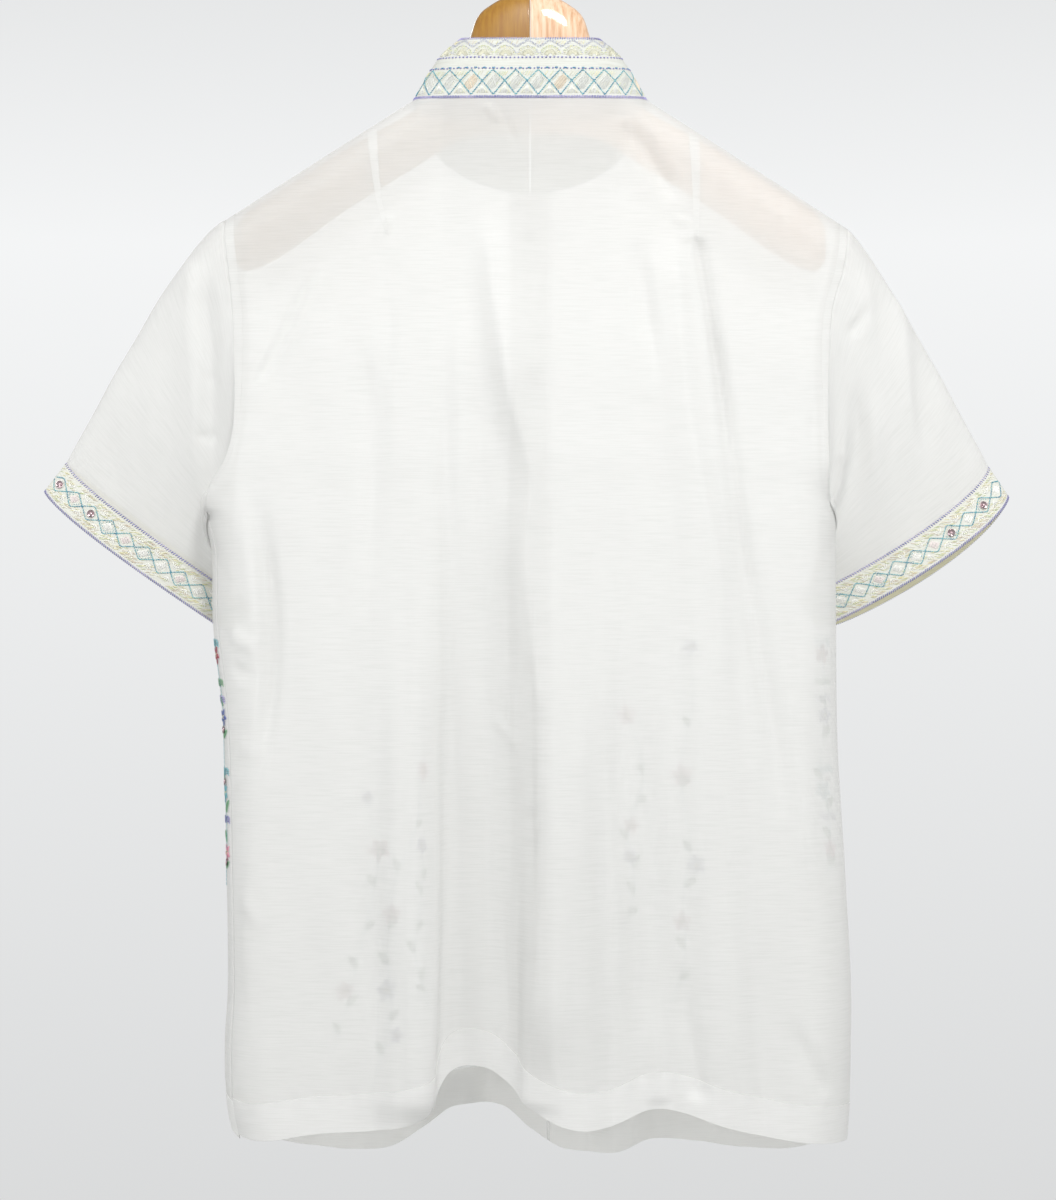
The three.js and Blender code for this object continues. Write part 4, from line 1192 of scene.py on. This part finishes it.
# ------------------------------------------------------------ needlework
THREADS = {   # colours from 0 to 255
    "teal": (112, 178, 188), "dark_teal": (78, 142, 168), "purple": (134, 132, 186),
    "lavender": (166, 160, 206), "grey_lavender": (192, 195, 210), "cream": (240, 238, 218),
    "yellow": (233, 226, 178), "lime": (214, 221, 176), "blush": (241, 231, 229),
    "white": (247, 247, 243), "beige": (224, 210, 190), "dark_red": (176, 84, 98),
    # the collar's two dull whites are darker copies of white and cream: painted shade against the key
    # lamp's extra light on the collar
    "shaded_white": (216, 218, 214), "flax": (216, 215, 194), "rose": (208, 134, 146),
    "lilac": (148, 154, 200), "blue": (100, 112, 172), "pink": (222, 150, 170),
    "green": (120, 170, 130),
}
threads = {name: plain_material(f"thread_{name}", srgb(*color), Roughness=0.45,
                                Sheen_Weight=0.3, Sheen_Roughness=0.4)
           for name, color in THREADS.items()}
THREAD_HALF_WIDTH, THREAD_LIFT, THREAD_SIDES = 0.34, 0.28, 4
THREAD_FLATNESS = 0.72     # a stitch's height as a share of its width
EDGING_HALF_WIDTH, EDGING_LIFT, EDGING_RUN = 0.36, 0.34, 9
END_CLEARANCE = 0.4        # no stitch comes closer to the cloth's ends
CHUNK = 2000               # points placed at a time, to keep the arrays small
RINGS = table("share lift taper", [(0, -1.2, 0.6), (0.14, 1.05, 1), (0.86, 1.05, 1),
                                   (1, -1.2, 0.6)])
NEEDLEWORK_SEED = 29
rng = np.random.default_rng(NEEDLEWORK_SEED)


def cell_of(values, wanted):
    """Where each wanted number falls in its own rising row of values."""
    i = np.clip((values <= wanted[:, None]).sum(axis=1) - 1, 0, values.shape[1] - 2)
    row = np.arange(len(wanted))
    low, high = values[row, i], values[row, i + 1]
    return i, (wanted - low) / (high - low)


class Surface:
    """Cloth to sew on: u runs along it, v up it and h out of it, in millimetres."""

    def __init__(self, grid, u, v, outside, half_wall):
        self.grid, self.u, self.v, self.half_wall = grid, u, v, half_wall
        self.normal = outside * normals_of(grid)

    def at(self, points):
        """Places and normals of rows of (u, v, h)."""
        parts = [self.at_few(part) for part in np.array_split(points, len(points) // CHUNK + 1)]
        return tuple(np.concatenate(side) for side in zip(*parts))

    def at_few(self, points):
        u, v, h = points.T
        j, across = np.full(len(u), self.u.shape[1] // 2), np.zeros(len(u))
        for _ in range(3):
            column = lerp(self.v[:, j], self.v[:, j + 1], across).T
            i, up = cell_of(column, v)
            row = lerp(self.u[i], self.u[i + 1], up[:, None])
            j, across = cell_of(row, u)

        def blend(grid):
            f, g = up[:, None], across[:, None]
            return lerp(lerp(grid[i, j], grid[i, j + 1], g),
                        lerp(grid[i + 1, j], grid[i + 1, j + 1], g), f)

        normal = unit(blend(self.normal))
        return blend(self.grid) + normal * (self.half_wall + h)[:, None], normal

    def span(self, v):
        """The least and greatest u of the row at height v."""
        column = self.v[:, self.u.shape[1] // 2]
        return np.interp(v, column, self.u[:, 0]), np.interp(v, column, self.u[:, -1])


class Needlework:
    """Stitches on one surface, sewn as flattened tubes of thread."""

    def __init__(self, surface, sink=THREAD_LIFT):
        self.surface, self.sink, self.rows = surface, sink, []

    def stitch(self, start, end, color, width=THREAD_HALF_WIDTH, lift=THREAD_LIFT):
        for u, v in (start, end):
            low, high = self.surface.span(v)
            if not low + END_CLEARANCE < u < high - END_CLEARANCE:
                return
        self.rows.append((*start, *end, width, lift, list(THREADS).index(color)))

    def line(self, points, colors, length, gap, width, jitter=0.12, twist=0.0):
        """A row of stitches along a path; twist turns each one across it, as in a rope."""
        points = np.array(points, float)
        colors = (colors,) if isinstance(colors, str) else colors
        steps = np.linalg.norm(np.diff(points, axis=0), axis=1)
        gone = np.concatenate([[0], np.cumsum(steps)])
        count = max(1, round(gone[-1] / length))
        for k in range(count):
            ends = gone[-1] * np.array([k, k + 1]) / count + np.array([gap, -gap]) / 2
            ends += rng.uniform(-jitter, jitter, 2)
            a, b = np.stack([np.interp(ends, gone, points[:, 0]),
                             np.interp(ends, gone, points[:, 1])], 1)
            off = np.array([a[1] - b[1], b[0] - a[0]]) * twist / 2
            self.stitch(a + off, b - off, colors[rng.integers(len(colors))], width)

    def satin(self, first, second, color, spacing, jitter=0.2):
        """Stitches side by side between two paths of the same number of points."""
        first, second = np.array(first, float), np.array(second, float)
        size = max(np.linalg.norm(np.diff(side, axis=0), axis=1).sum() for side in (first, second))
        count = max(2, round(size / spacing))
        at, knots = np.linspace(0, 1, count), np.linspace(0, 1, len(first))
        for t in at:
            a, b = (np.array([np.interp(t, knots, side[:, 0]), np.interp(t, knots, side[:, 1])])
                    for side in (first, second))
            a, b = a + rng.uniform(-jitter, jitter, 2), b + rng.uniform(-jitter, jitter, 2)
            self.stitch(a, b, color)

    def edging(self, v_from, v_to, slant, colors, spacing=1.15):
        """Slanting stitches over an edge, in runs of changing colour."""
        low, high = self.surface.span(v_from)
        color = colors[0]
        for k, u in enumerate(np.arange(low + 0.6, high - slant - 0.6, spacing)):
            if k % EDGING_RUN == 0:
                color = colors[rng.integers(len(colors))]
            self.stitch((u + rng.uniform(-0.15, 0.15), v_from + rng.uniform(-0.2, 0.2)),
                        (u + slant, v_to), color, EDGING_HALF_WIDTH, EDGING_LIFT)

    def sew(self, name):
        """Makes the mesh of all the stitches."""
        rows = np.array(self.rows)
        start, end, width, lift = rows[:, 0:2], rows[:, 2:4], rows[:, 4], rows[:, 5]
        flat = lerp(start[:, None], end[:, None], RINGS["share"][None, :, None])
        height = lift[:, None] * RINGS["lift"]
        height = np.where(height < 0, height * self.sink / THREAD_LIFT, height)
        count, rings = height.shape
        points, normal = self.surface.at(np.concatenate([flat, height[..., None]], 2).reshape(-1, 3))
        points, normal = points.reshape(count, rings, 3), normal.reshape(count, rings, 3)
        way = np.gradient(points, axis=1)
        side = unit(np.cross(normal, way))
        up = unit(np.cross(way, side))
        turn = turn_steps(THREAD_SIDES)[:, None]
        size = (width[:, None] * RINGS["taper"])[..., None, None]
        tube = points[:, :, None] + size * (
            np.cos(turn) * side[:, :, None] + THREAD_FLATNESS * np.sin(turn) * up[:, :, None])
        first = np.arange(count)[:, None, None] * rings * THREAD_SIDES
        faces = np.array(tube_faces(rings, THREAD_SIDES))
        quads, ends = (first + part for part in (faces[:-2], faces[-2:]))
        first_material, *others = threads.values()
        obj = new_object(name, tube.reshape(-1, 3) * MM,
                         np.concatenate([quads.reshape(-1, 4), ends.reshape(-1, 4)]),
                         first_material)
        for material in others:
            obj.data.materials.append(material)
        color = rows[:, 6].astype(int)
        obj.data.polygons.foreach_set("material_index", np.concatenate(
            [np.repeat(color, len(faces) - 2), np.repeat(color, 2)]).tolist())
        return place(obj, None)


sequin_metal = plain_material("sequin", srgb(178, 158, 162), Metallic=1.0, Roughness=0.15)
bead_glass = plain_material("bead", srgb(226, 196, 202), Roughness=0.08, Coat_Weight=1.0)
SEQUIN = table("radius height", [(0.45, 0.35), (1.5, 0.3), (2.3, 0.55), (2.8, 1.05), (2.7, 1.15),
                                 (2.2, 0.7), (1.4, 0.45), (0.45, 0.5)])
SEQUIN_SIDES, SEQUIN_LIFT, SEQUIN_TILT = 24, 0.1, 0.16
BEAD_RADIUS, BEAD_SIDES, BEAD_HEIGHT = 0.85, 14, 0.9
BEAD_ANGLES = np.linspace(-1.45, 1.45, 9)


def sequins(name, surface, places):
    """Cupped sequins, each held by a bead, as two objects."""
    cup, cup_faces = lathe(np.stack([SEQUIN["radius"], SEQUIN["height"]], 1), SEQUIN_SIDES)
    profile = np.stack([BEAD_RADIUS * np.cos(BEAD_ANGLES),
                        BEAD_HEIGHT + BEAD_RADIUS * np.sin(BEAD_ANGLES)], 1)
    bead, bead_faces = lathe(profile, BEAD_SIDES)
    centres, normals = surface.at(np.array([(u, v, SEQUIN_LIFT) for u, v in places], float))
    made = []
    for word, vertices, faces, material in (("cups", cup, cup_faces, sequin_metal),
                                            ("beads", bead, bead_faces, bead_glass)):
        tilted = [normal + rng.uniform(-SEQUIN_TILT, SEQUIN_TILT, 3) for normal in normals]
        points = [aimed(vertices, centre, way) for centre, way in zip(centres, tilted)]
        polygons = [[len(vertices) * k + corner for corner in face]
                    for k in range(len(points)) for face in faces]
        made.append(place(new_object(f"{name}_{word}", np.concatenate(points) * MM, polygons,
                                     material), None))
    return made


# ------------------------------------------------------------ the collar's pattern
PITCH = 15.7                             # from one diamond to the next


def hatch(work, centre, reach, low, high, slant, spacing, colors, width, keep):
    """Slanting parallel stitches over a patch of the cloth; `keep` is the share not left out."""
    for u in np.arange(centre - reach, centre + reach, spacing):
        if rng.uniform() < keep:
            u += rng.uniform(-0.25, 0.25)
            cut = rng.uniform(-0.3, 0.3, 2)
            work.stitch((u, low + cut[0]), (u + slant, high + cut[1]),
                        colors[rng.integers(len(colors))], width)


ROPE = ("teal", "teal", "dark_teal")
ROPE_STITCHES = dict(length=1.7, gap=0.2, jitter=0.2, twist=0.4)


def repeats(low, high):
    """The numbers of the pattern's repeats between two ends, and one beyond each."""
    return range(math.floor(low / PITCH) - 1, math.ceil(high / PITCH) + 1)


def sew_collar():
    """Diamonds of teal rope below, and above them arches of rays between purple lines."""
    u = lengths_along(collar_grid, 1)
    u -= u[:, u.shape[1] // 2][:, None]
    v = np.broadcast_to(np.linspace(0, COLLAR_HEIGHT, len(u))[:, None], u.shape)
    surface = Surface(collar_grid, u, v, 1, BAND_WALL / 2)
    work = Needlework(surface)
    half, tall = PITCH / 2, COLLAR_HEIGHT
    work.edging(1.9, -0.3, 0.5, ("purple", "purple", "lavender"))
    work.edging(tall - 1.2, tall + 0.5, 0.6, ("purple", "lavender", "grey_lavender"), 1.7)
    # its whites and creams are the darker collar copies, painted shade
    for number in repeats(*surface.span(0)):
        top = 5.6 + number * PITCH
        for way in (-1, 1):      # the diamonds, and the zigzag that joins their points
            shift = rng.uniform(-0.3, 0.3, 2)
            elbow = (top + way * half, 12.5 + shift[1])
            work.line([(top + shift[0], 20.3), elbow], ROPE, width=0.38, **ROPE_STITCHES)
            work.line([elbow, (top + way * PITCH, 2.4)], ("dark_teal", "teal"), width=0.38,
                      **ROPE_STITCHES)
            work.line([(top + way * 1.3, 17.6), (top + way * (half - 1.6), 12.2)], "flax",
                      2.0, 0.5, 0.26)
        inside = "beige" if number % 4 == 1 else "shaded_white"
        work.satin([(top - 4.7, 10.6), (top - 1.4, 15.6), (top + 1.9, 17.2)],
                   [(top - 1.6, 5.4), (top + 1.6, 6.8), (top + 4.7, 12.0)], inside, 0.95)
        hatch(work, top - 1, 4.5, 8.6, 11.6, 2.2, 2.3, ("flax", "flax", "lime"), 0.22, 0.6)
        cross = top + half
        for share in np.linspace(-1, 1, 7):
            work.stitch((cross + 0.3 * share, 9.9 - abs(share)), (cross + 4.3 * share, 2.9),
                        "flax" if abs(share) > 0.7 else "shaded_white")
        hatch(work, cross - 1, 3.2, 3.0, 5.6, 1.6, 1.9, ("flax", "lime"), 0.22, 0.6)
        hatch(work, cross - 1, 4.2, 15.8, 19.4, 2.4, 1.8, ("lime", "flax", "yellow"), 0.2, 0.75)
    for v, color, length in ((21.2, "purple", 2.6), (29.0, "purple", 2.8), (21.6, "dark_teal", 6.3)):
        ends = surface.span(v)
        path = [(u, v + 0.15 * math.sin(u / 9)) for u in np.arange(ends[0] + 1, ends[1] - 1, 3)]
        work.line(path, color, length, 1.7 if length < 3 else 4.2, 0.58, 0.15)
    for number in repeats(*surface.span(30)):
        centre = -1.5 + number * PITCH
        for angle in np.radians(np.linspace(10, 170, 13)):
            way = np.array([math.cos(angle), math.sin(angle)])
            base = np.array([centre, 30.3])
            work.stitch(base + way * 1.3, base + way * 5.2, "flax")
            work.stitch(base + way * 5.3, base + way * rng.uniform(6.9, 7.6),
                        ("yellow", "lime", "flax")[rng.integers(3)], 0.22)
        arc = [(centre + 7.3 * math.cos(angle), 30.9 + 6.6 * math.sin(angle))
               for angle in np.radians(np.linspace(5, 175, 9))]
        work.line(arc, ("grey_lavender", "lime"), 2.0, 0.5, 0.26, 0.2)
        for shift in (0, 0.9):
            zigzag = [(centre - half, 36.2 + shift), (centre, 41.2 + shift),
                      (centre + half, 36.2 + shift)]
            work.line(zigzag, "grey_lavender", 2.0, 0.5, 0.26, 0.2, 0.3)
        hatch(work, centre + half - 1, 3.2, 38.4, 41.0, 1.6, 1.8, ("beige", "yellow"), 0.2, 0.7)
    return work


worked = {"collar": [sew_collar().sew("blouse_collar_embroidery")]}   # what lies on each piece


# ------------------------------------------------------------ the cuffs' pattern
def cuff_surface(side):
    """The outside of a cuff: u runs round it from its outer end, v up from its lower edge."""
    grid = cuff_grids[side]
    count = grid.shape[1]
    order = (count // 2 - np.arange(count + 1)) % count
    grid = grid[::-1][:, order]
    surface = Surface(grid, lengths_along(grid, 1), lengths_along(grid, 0), 1, BAND_WALL / 2)
    outside = np.sign(np.sum(surface.normal * (grid - grid.mean(axis=1, keepdims=True))))
    surface.normal *= outside
    return surface


def diamond(centre, half, middle, tall):
    """One side of a diamond with its point a little blunt, as two lines."""
    point = middle + tall
    return ([(centre - half, middle), (centre - 1.2, point - tall * 0.09), (centre, point)],
            [(centre, point), (centre + 1.2, point - tall * 0.09), (centre + half, middle)])


HATCH_RISE = 0.62          # of the slanting lines that fill the cuffs


def sew_cuff(surface):
    """A row of rope diamonds on slanting stitches, between two purple edgings."""
    work = Needlework(surface)
    low, high = surface.span(CUFF_WIDTH / 2)
    count = round((high - low) / PITCH)
    pitch, middle = (high - low) / count, CUFF_WIDTH / 2
    work.edging(1.7, -0.4, 1.0, ("purple", "lavender", "purple"), 1.6)
    work.edging(CUFF_WIDTH - 1.5, CUFF_WIDTH + 0.5, 1.0, ("purple", "lavender", "lavender"), 1.9)
    centres = low + pitch * (np.arange(count) + 0.5)
    for number, centre in enumerate(centres):
        half = pitch / 2
        for way in (-1, 1):
            tall = way * rng.uniform(5.3, 6.1)
            for path in diamond(centre + rng.uniform(-0.4, 0.4), half, middle, tall):
                work.line(path, ROPE, width=0.34, **ROPE_STITCHES)
            if number % 2:
                for path in diamond(centre, half * 0.72, middle, tall * 0.7):
                    work.line(path, ("teal", "cream"), 2.0, 1.0, 0.22, 0.2)
            # slanting lines that fill the band beyond the diamonds
            for rise in (4.4, 6.9, 9.2):
                reach = half - (2.6 if rise < 5 else 0)
                at = centre + half if rise < 5 else centre
                run = 2.6 if rise < 5 else 3.4
                start = middle + rise - 1 if way > 0 else middle - rise - run * HATCH_RISE + 1
                hatch(work, at - run / 2, reach, start, start + run * HATCH_RISE, run,
                      1.7 if rise < 5 else 1.35, ("yellow", "lime", "beige", "cream"), 0.2, 0.6)
            for share in np.linspace(-1, 1, 4):
                work.stitch((centre + half + 0.4 * share, middle + way * 3.6),
                            (centre + half + 3.2 * share, middle + way * 7.6), "white", 0.3)
        work.satin([(centre - 4.2, middle - 0.6), (centre - 0.6, middle + 3.3)],
                   [(centre + 0.8, middle - 3.4), (centre + 4.2, middle + 0.6)],
                   "blush" if number % 3 == 1 else "white", 0.75)
    return work, centres


CUFF_SEQUINS = {1: (0, 2), -1: (1, 3)}
for side, word in ((1, "left"), (-1, "right")):
    surface = cuff_surface(side)
    work, centres = sew_cuff(surface)
    worked[side] = [work.sew(f"blouse_cuff_{word}_embroidery")]
    worked[side] += sequins(f"blouse_cuff_{word}_sequin", surface,
                            [(centres[k] + 0.4, CUFF_WIDTH / 2) for k in CUFF_SEQUINS[side]])


# ------------------------------------------------------------ flower sprays on the fronts
def turned(angle):
    """The direction at an angle in degrees, and the one across it."""
    way = np.array([math.cos(math.radians(angle)), math.sin(math.radians(angle))])
    return way, np.array([-way[1], way[0]])


BLADE_STEPS = [(0.08, 0.3), (0.3, 0.85), (0.6, 1), (0.85, 0.62), (1, 0.12)]   # share, width


def blade(work, base, angle, length, half, color, bow=0.0):
    """A satin leaf or petal, sewn from side to side."""
    way, across = turned(angle)
    base = np.array(base, float)
    spine = [(base + way * length * t + across * bow * math.sin(math.pi * t), width)
             for t, width in BLADE_STEPS]
    work.satin([p + across * half * width for p, width in spine],
               [p - across * half * width - way * 0.8 for p, width in spine],
               color, 0.66, jitter=0.12)


def flower(work, centre, size, color):
    """Five satin petals about a ring of yellow knots."""
    first = rng.uniform(0, 72)
    for k in range(5):
        way, _ = turned(first + 72 * k)
        blade(work, np.array(centre) + way * size * 0.24, first + 72 * k, size * 0.78,
              size * 0.3, color)
    for k in range(6):
        way, across = turned(60 * k)
        spot = np.array(centre) + way * size * 0.2
        work.stitch(spot - across * 0.6, spot + across * 0.6, "yellow", 0.42)


LEAVES = [   # share of the stem's length, side and size
    (0.12, 1, 9), (0.22, -1, 10), (0.38, 1, 11), (0.5, -1, 9), (0.66, 1, 10), (0.8, -1, 8)]
LEAF_ANGLE = 42


def stem(work, path):
    """A curved stem with its leaves."""
    path = curve_through(np.array(path, float))
    work.line(path, "teal", 3.0, 0.3, 0.26)
    for share, side, size in LEAVES:
        k = int(share * (len(path) - 2))
        d = path[k + 1] - path[k]
        angle = math.degrees(math.atan2(d[1], d[0])) + side * LEAF_ANGLE
        blade(work, path[k], angle, size, size * 0.26, "green", side * -0.8)


SPRAYS = {   # u is from the side seam
    "front_left": dict(
        stems=[[(150, -838), (160, -790), (155, -740), (160, -690), (182, -640), (178, -585)],
               [(120, -812), (128, -770), (140, -715), (148, -672), (140, -630)],
               [(196, -780), (178, -740), (186, -690), (186, -668)]],
        flowers=[(149, -666, 8, "rose"), (186, -662, 6, "lilac"), (158, -713, 7, "pink"),
                 (156, -768, 8, "lilac"), (124, -768, 7, "rose"), (167, -801, 6, "lavender"),
                 (187, -608, 7, "pink"), (140, -628, 5, "lavender")]),
    "front_right": dict(
        stems=[[(140, -790), (124, -745), (122, -700), (114, -660), (118, -612), (108, -560),
                (110, -522)],
               [(178, -720), (166, -690), (168, -650), (150, -610), (160, -570)]],
        flowers=[(111, -677, 7, "lilac"), (168, -669, 6, "lavender"), (165, -647, 6, "rose"),
                 (117, -612, 8, "pink"), (124, -718, 7, "rose"), (109, -519, 6, "lilac"),
                 (161, -568, 7, "pink")]),
}
SIDE_SPRAY = dict(
    stems=[[(16, -688), (9, -650), (14, -606), (8, -560), (13, -512)]],
    flowers=[(11, -524, 6.5, "dark_red"), (9, -568, 6, "blue"), (13, -622, 6.5, "teal"),
             (10, -664, 6, "pink")],
    bars=[(-515, "teal"), (-543, "green"), (-555, "lavender"), (-606, "teal"), (-640, "purple")],
    sequins=[(8, -577), (10, -614), (9, -671)])


SPRAY_SINK = 0.85          # how deep the sprays' stitches go into the thin cloth


def front_surface(name):
    """The outside of a front: u runs from its side seam, v is the height."""
    grid, outside = grids[name][1], -1
    if name == "front_right":
        grid, outside = grid[:, ::-1], 1
    return Surface(grid, lengths_along(grid, 1), grid[..., 2], outside, CLOTH_WALL / 2)


for name, spray in SPRAYS.items():
    surface = front_surface(name)
    work = Needlework(surface, SPRAY_SINK)
    for each in (spray, SIDE_SPRAY):
        for path in each["stems"]:
            stem(work, path)
        for u, z, size, color in each["flowers"]:
            flower(work, (u, z), size, color)
    for z, color in SIDE_SPRAY["bars"]:
        for shift in (0, 1.6, 3.2):
            work.line([(2.5, z - shift), (7, z + 2 - shift), (12, z - shift), (17, z + 2 - shift)],
                      color, 2.6, 0.25, 0.42)
    worked[name] = [work.sew(f"blouse_{name}_embroidery")]
    worked[name] += sequins(f"blouse_{name}_sequin", surface,
                            [(u, z) for u, z, _, _ in spray["flowers"]] + SIDE_SPRAY["sequins"])
